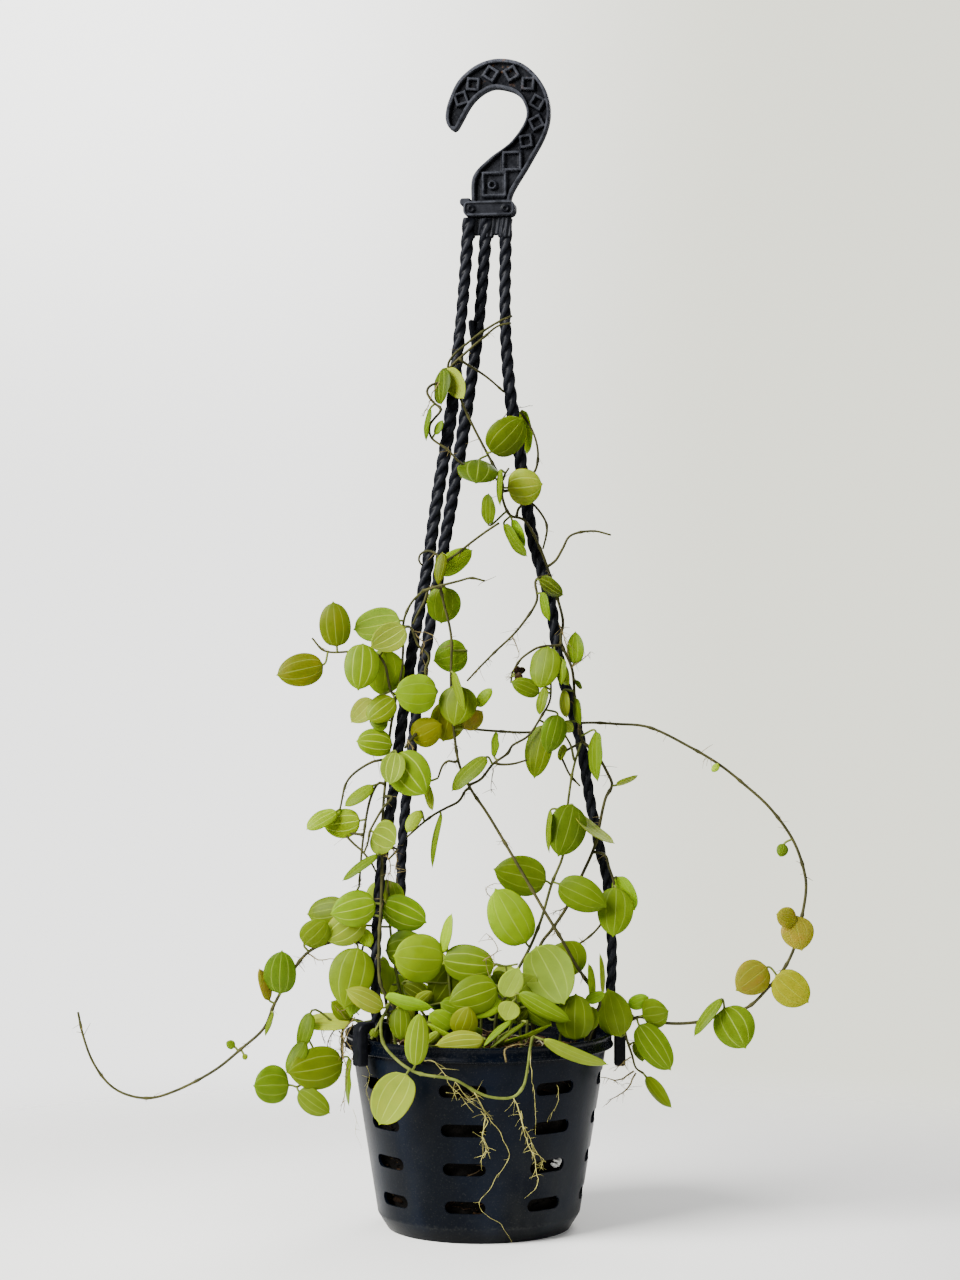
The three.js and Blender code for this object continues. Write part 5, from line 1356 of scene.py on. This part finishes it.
hanger_plastic = material("hanger_plastic", paint_hanger, Specular_IOR_Level=0.08)
print("hanger plastic nodes:", len(hanger_plastic.node_tree.nodes))

# %% Steps, ridges and round edges
RIDGE_SLOPE = 0.35


def step(values, low, high):
    """0 below low, 1 above high and a smooth step between them."""
    share = np.clip((values - low) / (high - low), 0, 1)
    return share * share * (3 - 2 * share)


def ridge(distance, half_width):
    """1 on a line and 0 beside it, with sloping flanks."""
    return 1 - step(np.abs(distance), half_width - RIDGE_SLOPE / 2, half_width + RIDGE_SLOPE)


def round_over(distance, radius):
    """The rise of a quarter circle, from 0 at an edge to 1 a radius inside it."""
    return np.sqrt(1 - (1 - np.clip(distance / radius, 0, 1)) ** 2)


def closed_ends(grid):
    """A grid with its first and its last row closed onto their middles."""
    ends = [np.repeat(grid[at:at + 1 or None].mean(1, keepdims=True), grid.shape[1], 1) for at in (0, -1)]
    return np.concatenate([ends[0], grid, ends[1]])


def two_faced(across, up, height, wear):
    """A patch with a front and a back that mirror each other at a height, turned with the hook."""
    front = np.stack([across, -height, up], -1)
    back = np.stack([across, height, up], -1)[:, ::-1]
    grid = closed_ends(np.concatenate([front, back, front[:, :1]], 1))
    wear = np.concatenate([wear, wear[:, ::-1], wear[:, :1]], 1)
    wear = np.concatenate([wear[:1], wear, wear[-1:]])
    middle = (HANGER_MIDDLE, 0, 0)
    return patch(turned_on(grid - middle, HOOK_TURN) + middle, wear=wear)


print("half way up a step:", step(0.5, 0, 1))

# %% Hook sizes
HOOK_THICKNESS = 6.5
HOOK_RIM_WIDTH = 1.9
HOOK_WEB_DEPTH = 2.4
HOOK_EDGE_RADIUS = 0.9
HOOK_ROWS = 420
HOOK_COLUMNS = 72
HOOK_OUTER = [
    (-12.6, 547.2), (-15, 549), (-16.4, 552), (-16.6, 556), (-15, 562.5), (-10, 572.5), (-0.5, 580),
    (10.5, 582.5), (22.5, 579.5), (32, 569.8), (36, 557.5), (34, 545), (26, 530), (17.5, 516), (16, 509),
]
HOOK_INNER = [
    (-12.2, 547.2), (-10.6, 548.2), (-9.2, 550.5), (-7.5, 553.5), (-4.5, 558.8), (-1, 563), (4, 566.5),
    (10, 567.7), (19.5, 564.5), (24, 557), (23, 550), (16, 540.5), (5, 532.5), (-3, 523.5), (-3.3, 509),
]
DIAMONDS = [
    (-8.8, 563.2), (-2.7, 570.2), (6.2, 575.2), (16.6, 575),
    (25, 569.6), (29.6, 560.2), (29.2, 550), (24, 541),
]
DIAMOND_REACH = 3.75
SQUARES = [((16.9, 531.3), 4.3), ((8, 520), 5.6)]
RIDGE_WIDTH = 1.4
FOOT_BAR = ((2.5, 13.5), 513.6)
BOSS = (7, 519.6)
BOSS_RADIUS = 1.7
print("diamonds:", len(DIAMONDS), "points across the hook:", HOOK_COLUMNS)


# %% Hook shape
def line_by_order(places):
    """A cubic through places in order, each with the slope of its neighbours: rows of order, x and y."""
    points = np.concatenate([places[:1], places, places[-1:]])
    share = np.linspace(0, 1, 20, endpoint=False)[:, None, None]
    slope = (points[2:] - points[:-2]) / 2
    curve = cubic(share, places[:-1], places[1:], slope[:-1], slope[1:])
    order = np.arange(len(places) - 1)[None, :, None] + share
    dense = np.concatenate([order, curve], -1).transpose(1, 0, 2).reshape(-1, 3)
    return np.concatenate([dense, [[len(places) - 1, *places[-1]]]])


def hook_edge(places):
    """Rows of points along one edge: the smooth line through its places, read at even steps of order."""
    places = np.array(places, float)
    wanted = np.linspace(0, len(places) - 1, HOOK_ROWS)
    dense = line_by_order(places)
    return np.stack([np.interp(wanted, dense[:, 0], dense[:, axis]) for axis in (1, 2)], -1)


def hook_relief(place, middle):
    """1 on the raised lines of the web: diamonds that follow the hook's way, squares, a boss and a bar."""
    ahead = unit(np.gradient(middle, axis=0))
    lines = []
    for centre in DIAMONDS:
        way = ahead[np.linalg.norm(middle - centre, axis=1).argmin()]
        off = place - centre
        span = np.abs(off @ way) + np.abs(off @ np.array([-way[1], way[0]]))
        lines.append(ridge(span - DIAMOND_REACH, RIDGE_WIDTH * 0.7))
    lines += [ridge(np.abs(place - centre).max(-1) - reach, RIDGE_WIDTH / 2) for centre, reach in SQUARES]
    lines.append(ridge(np.linalg.norm(place - BOSS, axis=-1) - BOSS_RADIUS, 0.5))
    (left, right), bar_up = FOOT_BAR
    on_bar = step(place[..., 0], left - 0.5, left) * (1 - step(place[..., 0], right, right + 0.5))
    lines.append(0.7 * on_bar * ridge(place[..., 1] - bar_up, 0.5))
    return np.max(lines, 0)


def hook_patch():
    """Over a ribbon from the outer to the inner edge, the height is the half thickness, less the depth of
    the web, plus its raised lines, less a round over at both edges."""
    outer, inner = hook_edge(HOOK_OUTER), hook_edge(HOOK_INNER)
    middle = (outer + inner) / 2
    share = (1 - np.cos(np.linspace(0, np.pi, HOOK_COLUMNS))) / 2
    place = outer[:, None] + (inner - outer)[:, None] * share[:, None]
    along = lengths_along(middle)[:, None]
    edge = np.minimum(share, 1 - share) * np.linalg.norm(inner - outer, axis=1)[:, None]
    edge = np.minimum(edge, along * 0.8)
    web = step(edge, HOOK_RIM_WIDTH - 0.2, HOOK_RIM_WIDTH + 0.35)
    relief = hook_relief(place, middle) * step(edge, 0.8, 1.2)
    height = HOOK_THICKNESS / 2 - HOOK_WEB_DEPTH * web * (1 - 0.88 * relief)
    height = height - HOOK_EDGE_RADIUS * (1 - round_over(edge, HOOK_EDGE_RADIUS))
    height = height + 0.05 * waves(place, 1.6, 21)
    # Painted light: the web is painted lighter in its open lower part, away from the rims, and stays dark
    # near the rims and in the arch, where shade falls.
    web_painted_light = 0.08 + 0.3 * step(along, 85, 115) * step(edge, 2.2, 4)
    wear = np.clip(1 - web + relief * 0.6 + web_painted_light, 0, 1) * (1 - 0.3 * step(edge, 0, 0.6))
    return two_faced(place[..., 0], place[..., 1], height, wear)


hook_ribbon = hook_patch()
print("hook's grid:", hook_ribbon["points"].shape)

# %% Clasp and comb
CLASP_BOX = (-7.5, 18.5, 504, 511.5)
CLASP_THICKNESS = 9.5
CLASP_BOSSES = ((-3.4, 507.6), (14, 507.4))
CLASP_BOSS_RADIUS = 1.3
TAB_BOX = (-9.3, -3.5, 509.6, 513.2)
TAB_THICKNESS = 8
COMB_LEFT, COMB_RIGHT, COMB_LOW, COMB_HIGH = (-7.5, 16.5, 493.5, 503.7)
COMB_THICKNESS = 8
COMB_TEETH = [(-7.5, -2), (0.5, 7.5), (9.5, 16.5)]
COMB_ROOT = 495.8
SLAB_EDGE_RADIUS = 0.8


def slab(box, face, columns=80, rows=40, corner=3.0):
    """A bar with round corners, front and back. Its outline is the box drawn in near its four corners. The
    face, a function of the place and the distance from the edge, gives half its thickness and its wear."""
    left, right, low, high = box
    middle = np.array([(left + right) / 2, (low + high) / 2])
    half = np.array([(right - left) / 2, (high - low) / 2])
    share = np.sin(np.linspace(-np.pi / 2, np.pi / 2, columns))
    level = np.sin(np.linspace(-np.pi / 2, np.pi / 2, rows))[:, None]
    up = np.broadcast_to(level * half[1], (rows, columns))
    into_corner = np.clip(np.abs(up) - (half[1] - corner), 0, None)
    drawn = corner - np.sqrt(np.clip(corner**2 - into_corner**2, 0, None))
    across = share * (half[0] - drawn)
    edge = np.minimum(half[1] - np.abs(up), half[0] - drawn - np.abs(across))
    across, up = across + middle[0], up + middle[1]
    height, wear = face(across, up, edge)
    height = height - SLAB_EDGE_RADIUS * (1 - round_over(edge, SLAB_EDGE_RADIUS))
    return two_faced(across, up, height, wear)


def clasp_face(across, up, edge):
    """A shallow tray with a boss near each end."""
    tray = step(edge, 1.0, 1.5)
    off = [np.hypot(across - centre[0], up - centre[1]) for centre in CLASP_BOSSES]
    relief = np.max([ridge(apart - CLASP_BOSS_RADIUS, 0.55) for apart in off], 0)
    return CLASP_THICKNESS / 2 - 0.9 * tray * (1 - relief), np.clip(0.8 - 0.6 * tray - 0.2 * relief, 0, 1)


def tab_face(across, up, edge):
    """A flat face, worn all over."""
    return TAB_THICKNESS / 2 + 0 * edge, 0.5 + 0 * edge


def comb_face(across, up, edge):
    """A web between the strands, thicker behind each of them, with slanted grooves."""
    rib = np.cos(2 * np.pi * (across - 4.2) / 9.3)
    groove = np.cos(2 * np.pi * (across / 2.3 - up / 16))
    return COMB_THICKNESS / 2 - 2.4 + 0.5 * rib + 0.3 * groove, 0.15 + 0.2 * np.clip(groove, 0, 1)


hook_parts = [hook_ribbon, slab(CLASP_BOX, clasp_face), slab(TAB_BOX, tab_face, 30, 20, 1.5)]
hook = build("moulded_hook", hook_parts, [hanger_plastic], sharp=60)
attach(hook, "root")
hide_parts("hook")

comb_parts = [slab((COMB_LEFT, COMB_RIGHT, COMB_ROOT - 1, COMB_HIGH), comb_face, corner=0.6)]
for left, right in COMB_TEETH:
    comb_parts.append(slab((left, right, COMB_LOW, COMB_ROOT + 1), comb_face, 40, 30, 1.0))
comb = build("strand_comb", comb_parts, [hanger_plastic])
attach(comb, "root")
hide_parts("strand_header")
print("hook faces:", len(hook.data.polygons), "comb faces:", len(comb.data.polygons))

# %% Strand and clip sizes
STRAND_TOP = 493
STRAND_ROOT = 503
STRAND_SIDES = 36
STRAND_TWIST_PITCH = 24
STRAND_RADII = (3.4, 3.0, 3.5, 3.3, 3.1, 3.0, 2.8, 2.7, 2.7)
LOBE_RADIUS = 0.62
LOBE_OFFSET = 0.38
STUB = [(-4, 452.8, 3), (-3.6, 448, 3.5), (-2.4, 441, 5)]
STUB_RADIUS = 1.5
CLIP_WIDTH = 7
CLIP_LEG = 5.5
CLIP_TOP = 106.5
CLIP_BRIDGE = 4.5
CLIP_OUTER_FOOT = {"strand_left": 85, "strand_back": 80.5, "strand_right": 79.5}
CLIP_INNER_FOOT = 93
CLIP_INNER_RADIUS = 54.5
CLIP_INNER_LEG = 4
CLIP_CLEARANCE = 0.5
CLIP_BEND = 2.5
CLIP_ROUND_END = 1.4
CLIP_SQUARENESS = 0.35
RIDGE_PITCH = 2.2
RIDGE_HEIGHT = 0.25
STRANDS = {
    "strand_left": (-55, -37.5, [
        (-5, STRAND_TOP), (-8, 462.5), (-10, 442.5), (-13, 412.5), (-16, 392.5), (-21, 362.5), (-26.5, 325),
        (-32.5, 292.5), (-38, 255), (-43.5, 212.5), (-49, 177.5), (-51.5, 137.5), (-51.5, 99)]),
    "strand_back": (-142, 49, [
        (4, STRAND_TOP), (1, 462.5), (-1, 442.5), (-5.5, 412.5), (-8.5, 392.5), (-13.5, 362.5), (-17, 342.5),
        (-24, 302.5), (-31.5, 255), (-36.5, 212.5), (-38.5, 187.5), (-39, 172.5), (-37.5, 112)]),
    "strand_right": (90, 0, [
        (13.5, STRAND_TOP), (13, 462.5), (13.5, 442.5), (16, 412.5), (20, 387.5), (27, 342.5), (35.5, 312.5),
        (40, 282.5), (50.5, 242.5), (55.5, 212.5), (60.5, 187.5), (64, 172.5), (66.5, 132.5), (64.5, 103)]),
}
print("each row is azimuth, depth at the clip and seen line:", ", ".join(STRANDS))


# %% Strands and their clips
def three_lobes(angle, paths):
    """The reach of three circles about a middle: their offset times the cosine of the angle to the nearest
    one, plus the rest of the way to its edge. The lobes turn with length."""
    turn = 2 * np.pi * lengths_along(paths)[..., None] / STRAND_TWIST_PITCH
    near = (angle - turn + np.pi / 3) % (2 * np.pi / 3) - np.pi / 3
    return LOBE_OFFSET * np.cos(near) + np.sqrt(LOBE_RADIUS**2 - (LOBE_OFFSET * np.sin(near)) ** 2)


def strand_patch(end_depth, line):
    """A strand along its seen line, whose depth grows evenly from the comb to the clip. It is worn where
    its lobes stand out."""
    across, up = np.array(line, float).T
    depth = end_depth * (STRAND_TOP - up) / (STRAND_TOP - up[-1])
    up[0] = STRAND_ROOT
    path = line_through(seen(np.column_stack([across, up, depth])), 0.8)
    share = lengths_along(path) / lengths_along(path)[-1]
    radius = np.interp(share, np.linspace(0, 1, len(STRAND_RADII)), STRAND_RADII)
    reach = capped(three_lobes(np.linspace(0, 2 * np.pi, STRAND_SIDES + 1), path[None]))
    wear = np.clip((reach - 0.86) / 0.14, 0, 1) * 0.3
    return tube_patch(path, radius, STRAND_SIDES, three_lobes, wear=wear)


def oblong(circle):
    """A cosine or sine made squarer: its sign times a small power of its size."""
    return np.sign(circle) * np.abs(circle) ** CLIP_SQUARENESS


def clip_patch(azimuth, outer_foot):
    """A bar with a rounded oblong section, carried up the inner leg, over the rim and down the outer leg.
    Three ridges run down the outer face, and both feet are rounded off."""
    inner = CLIP_INNER_RADIUS + CLIP_INNER_LEG / 2
    outer = RIM_RADIUS + CLIP_CLEARANCE + CLIP_LEG / 2
    top = CLIP_TOP - CLIP_BRIDGE / 2
    bend = rounded([(inner, CLIP_INNER_FOOT), (inner, top), (outer, top), (outer, outer_foot)], CLIP_BEND, 8)
    path = even(np.column_stack([bend, np.zeros(len(bend))]), 0.4)[:, :2]
    along = lengths_along(path)
    share = along / along[-1]
    legs = [CLIP_INNER_LEG, CLIP_INNER_LEG, CLIP_BRIDGE, CLIP_LEG, CLIP_LEG]
    thick = np.interp(share, [0, 0.25, 0.5, 0.6, 1], legs)
    close = round_over(np.minimum(along, along[-1] - along), CLIP_ROUND_END) * 0.7 + 0.3
    angle = np.linspace(0, 2 * np.pi, 49)
    across = oblong(np.cos(angle)) * CLIP_WIDTH / 2 * close[:, None]
    out = oblong(np.sin(angle)) * (thick / 2 * close)[:, None]
    on_outer = (out > 0) * step(share, 0.55, 0.65)[:, None]
    ridges = RIDGE_HEIGHT * np.cos(across * 2 * np.pi / RIDGE_PITCH) * on_outer
    way = unit(np.gradient(path, axis=0))
    normal = np.stack([-way[:, 1], way[:, 0]], -1)
    flat = path[:, None] + normal[:, None] * (out + ridges)[..., None]
    grid = closed_ends(np.stack([flat[..., 0], across, flat[..., 1]], -1))
    return patch(turned_on(grid, azimuth - 90), wear=0.08)


def stub_patch():
    """The round-ended stub of a wire that was cut off, beside the back strand."""
    path = line_through(seen(STUB), 0.4)
    return tube_patch(path, STUB_RADIUS * round_over(lengths_along(path), STUB_RADIUS), 16, wear=0.2)


for name, (azimuth, end_depth, line) in STRANDS.items():
    parts = [strand_patch(end_depth, line), clip_patch(azimuth, CLIP_OUTER_FOOT[name])]
    if name == "strand_back":
        parts.append(stub_patch())
    made = build("twisted_" + name, parts, [hanger_plastic], sharp=50)
    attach(made, "root")
    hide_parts(name)
    print(made.name, "faces:", len(made.data.polygons))

# %% [markdown]
# ## Aerial roots
# Where a stem rests, pale roots thinner than a thread grow out of its joints, branch and hang down. Hair
# particles would be lost on export, so each root is a thin tube along a crooked path. The long ones that
# show are listed, mostly close to the pot's wall, and fine hairs are drawn at random along them.


# %% Root colours
def root_paint(fresh, dry):
    """Paint for roots: a fresh colour that turns dry in places."""
    def paint(wire):
        """Cloudy patches of both colours."""
        cloud = noise(wire, 4.0, 3.0)
        return {
            "Base Color": cloud.ramp(0.35, 0.75).mix(colour(fresh), colour(dry)),
            "Roughness": 0.55 + cloud * 0.2,
        }
    return paint


root_cream = material("root_cream", root_paint("#CCC46E", "#7A7436"), Specular_IOR_Level=0.2)
root_tan = material("root_tan", root_paint("#7C6E40", "#4A3E22"), Specular_IOR_Level=0.2)
print("root colours:", root_cream.name, root_tan.name)

# %% Root shapes
HAIR_RADIUS = (0.06, 0.11)
HAIR_REACH = (0.3, 1)
ROOT_BEND = 0.35
ROOT_THINS_BY = 0.6


def on_pot(route, clearance):
    """Depths that lay seen places on the pot's wall in front of its axis, a clearance outside it."""
    across, up = np.array(route, float).T
    depth = np.full(len(route), -60.0)
    for _ in range(3):
        x, _, z = seen(np.stack([across, up, depth], -1)).T
        share = (np.clip(z, FOOT_HEIGHT, None) - FOOT_HEIGHT) / (POT_HEIGHT - RIM_BAND - FOOT_HEIGHT)
        radius = BODY_FOOT_RADIUS + (BODY_TOP_RADIUS - BODY_FOOT_RADIUS) * np.clip(share, 0, 1)
        radius = np.where(z > POT_HEIGHT - RIM_BAND - 2, RIM_RADIUS, radius) + clearance
        depth = -np.sqrt(np.clip(radius**2 - x**2, 4, None))
    return seen(np.stack([across, up, depth], -1))


def crooked(path, size, draw):
    """A path with small random bends, none at its start."""
    offset = draw.normal(0, size, path.shape)
    smooth = (np.roll(offset, 1, 0) + offset + np.roll(offset, -1, 0)) / 2
    smooth[0] = 0
    return path + smooth


def hairs(path, count, reach, draw, thickness, fall=0.5):
    """Short fine roots off a path, at random places and ways that lean down, each bent along its length."""
    starts = path[draw.integers(1, len(path), count)]
    ways = draw.normal(size=(count, 3)) * (1, 0.5, 0.8) - (0, 0, fall)
    bends = draw.normal(0, 0.45, (count, 3)) - (0, 0, fall)
    share = np.linspace(0, 1, 7)[None, :, None]
    length = draw.uniform(*HAIR_REACH, (count, 1, 1)) ** 1.5 * reach
    paths = starts[:, None] + unit(ways)[:, None] * share * length + bends[:, None] * share**2 * length * 0.5
    thick = thickness * draw.uniform(*HAIR_RADIUS, (count, 1)) * (1 - ROOT_THINS_BY * share[..., 0])
    return tube_patch(paths, thick, 5)


def root_patches(route, thick, count, reach, draw, hair=1.0):
    """One root that thins along its length, with its fine hairs."""
    path = crooked(line_through(route, 2.0), ROOT_BEND, draw)
    thinning = 1 - ROOT_THINS_BY * np.linspace(0, 1, len(path))
    return [tube_patch(path, thick * thinning, 6), hairs(path, count, reach, draw, hair)]


def joint_hairs(draw):
    """Tufts of fine hairs at the joints of the climbing plants."""
    lines = [line_through(seen(stem), 1.5) for name in TUFTED_PLANTS for stem in PLANTS[name]["stems"]]
    near = [line[from_joint(lengths_along(line)) < JOINT_TUFT] for line in lines]
    return hairs(np.concatenate(near), JOINT_HAIRS, 6, draw, 2.2, fall=0.2)


print("a root laid on the pot, in mm:", np.round(on_pot([(0, 60), (0, 40)], 2), 1).tolist())

# %% Root places and sizes
WALL_ROOT_THINNING = 0.5
FREE_ROOT_THINNING = 1.6
JOINT_HAIRS = 480
JOINT_TUFT = 3.5
TUFTED_PLANTS = (
    "climbing_stem_right", "climbing_stem_left", "diagonal_stem", "looping_stem", "trailing_stem",
)
# Each row is a seen route, the thickness, the number of hairs, their reach and the clearance off the pot.
WALL_ROOTS = [
    ([(-27.5, 82), (-23, 81.5), (-17, 76), (-14.5, 70), (-7, 63.5), (2, 57.5)], 0.35, 16, 9, 3),
    ([(-12, 71.5), (-9, 68), (-6, 63), (-2, 60)], 0.3, 10, 8, 3),
    ([(-4, 69), (2, 58.5), (3.5, 55), (2.5, 47.5), (2.5, 37.5), (0.5, 31)], 0.5, 30, 7, 2),
    ([(1, 57), (4.5, 52), (1.5, 45), (4, 39), (2, 33)], 0.35, 14, 6, 2.4),
    ([(17, 64), (20.5, 56), (23, 46), (26, 37.5), (29.5, 25), (28.5, 17)], 0.55, 26, 7, 2),
    ([(21, 57), (22, 50), (26.5, 40), (31, 34), (33.5, 32)], 0.35, 14, 6, 2.4),
    ([(26, 37), (30.5, 33), (31, 29)], 0.25, 6, 4, 2),
    ([(3.5, 56), (8, 50), (12, 42.5), (15.5, 35), (10.5, 26.5),
      (5.5, 17.5), (0.5, 11), (2.5, 6), (10.5, 1), (16, -8.5)], 0.28, 4, 3, 1),
    ([(26, 87.5), (26, 80), (28, 60), (28.5, 45)], 0.3, 6, 5, 2.5),
    ([(39, 70), (39.5, 62.5), (34, 51)], 0.22, 4, 4, 1.2),
    ([(-57, 82), (-55, 74), (-56, 66), (-54.5, 62)], 0.25, 8, 6, 1.5),
    ([(-63, 58), (-61, 52), (-62, 46), (-59.5, 40)], 0.2, 5, 5, 2),
]
# Each row is a seen route with depths, the thickness, the number of hairs and their reach.
FREE_ROOTS = [
    ([(13.5, 81.5, -68), (13, 87.5, -69), (18, 90, -68), (23, 90.5, -66)], 0.3, 4, 4),
    ([(77.5, 77, -13), (72, 73.5, -14), (66.5, 73, -16), (61, 74, -18)], 0.3, 10, 6),
    ([(78.5, 76, -12), (74.5, 68.5, -12), (66.5, 63.5, -14), (64, 60, -16)], 0.3, 12, 6),
    ([(76, 84, -13), (70, 80, -15), (67, 77, -17)], 0.25, 8, 6),
    ([(16.5, 294.5, -11), (19, 290, -12), (20, 284, -12)], 0.25, 8, 5),
    ([(46, 278, -7), (50, 281, -9), (55.5, 286.5, -10)], 0.25, 10, 6),
    ([(7, 228.5, -22), (6.5, 222, -23), (6, 216, -23)], 0.2, 6, 4),
    ([(43.5, 159, -12), (39, 157, -14), (35, 155.5, -15)], 0.2, 6, 4),
    ([(-86.5, 136, -38), (-79.5, 133, -38), (-70.5, 133, -38)], 0.25, 8, 5),
    ([(-32.5, 297, -25), (-24, 295.5, -27), (-21, 289.5, -27)], 0.2, 6, 4),
    ([(-47, 187, -38), (-44, 180, -40), (-46, 172, -41)], 0.25, 14, 7),
    ([(-45, 190, -38), (-41, 183, -40), (-42, 176, -41)], 0.25, 12, 7),
    ([(-69, 100, -26), (-74, 95, -28), (-76, 87, -29)], 0.25, 14, 7),
    ([(-70, 97, -28), (-67, 92, -34), (-68, 84, -36)], 0.25, 12, 7),
    ([(40, 300, -8), (43, 292, -10), (45, 284, -11)], 0.22, 14, 7),
    ([(46, 262, -9), (50, 255, -10), (50, 246, -11)], 0.22, 12, 7),
    ([(-18, 425, -15), (-24, 414, -16), (-28, 405, -17)], 0.22, 12, 5),
    ([(10, 402, 4), (18, 408, 6), (27, 410, 7)], 0.18, 6, 4),
    ([(8, 160, -30), (4, 168, -31), (12, 172, -30)], 0.18, 8, 5),
    ([(2, 132, -44), (10, 138, -44), (4, 146, -43)], 0.2, 10, 8),
    ([(-62, 104, -30), (-66, 99, -31), (-70, 93, -30), (-69, 88, -30)], 0.22, 8, 5),
    ([(-60, 105, -32), (-64, 109, -31), (-69, 107, -30), (-72, 110, -30)], 0.18, 6, 4),
    ([(-66, 98, -33), (-68, 86, -35), (-66, 76, -36), (-68, 64, -36), (-67, 56, -36)], 0.2, 8, 5),
    ([(-63, 101, -33), (-66, 92, -35), (-63, 85, -37), (-66, 76, -38)], 0.2, 8, 5),
    ([(-76, 101, -29), (-79, 97, -29), (-77, 91, -30)], 0.18, 6, 4),
    ([(-32, 296, -27), (-27, 290, -28), (-30, 284, -28)], 0.2, 8, 5),
    ([(-36, 243, -36), (-33, 237, -36), (-36, 230, -37)], 0.2, 10, 5),
]
print("roots on the pot:", len(WALL_ROOTS), "free roots:", len(FREE_ROOTS))

# %% Roots on the pot and at the joints
draw = np.random.default_rng(31)
wall_roots = []
for route, thick, count, reach, clearance in WALL_ROOTS:
    wall_roots += root_patches(on_pot(route, clearance), WALL_ROOT_THINNING * thick, count, reach, draw)
free_roots = []
for route, thick, count, reach in FREE_ROOTS:
    free_roots += root_patches(seen(route), FREE_ROOT_THINNING * thick, count, reach, draw, hair=2.0)
free_roots.append(joint_hairs(draw))
root_pieces = {"pot_wall_roots": (wall_roots, root_cream), "joint_roots": (free_roots, root_tan)}
for name, (parts, skin) in root_pieces.items():
    made = build(name, parts, [skin])
    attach(made, "root")
    print(name, "faces:", len(made.data.polygons))

# %% [markdown]
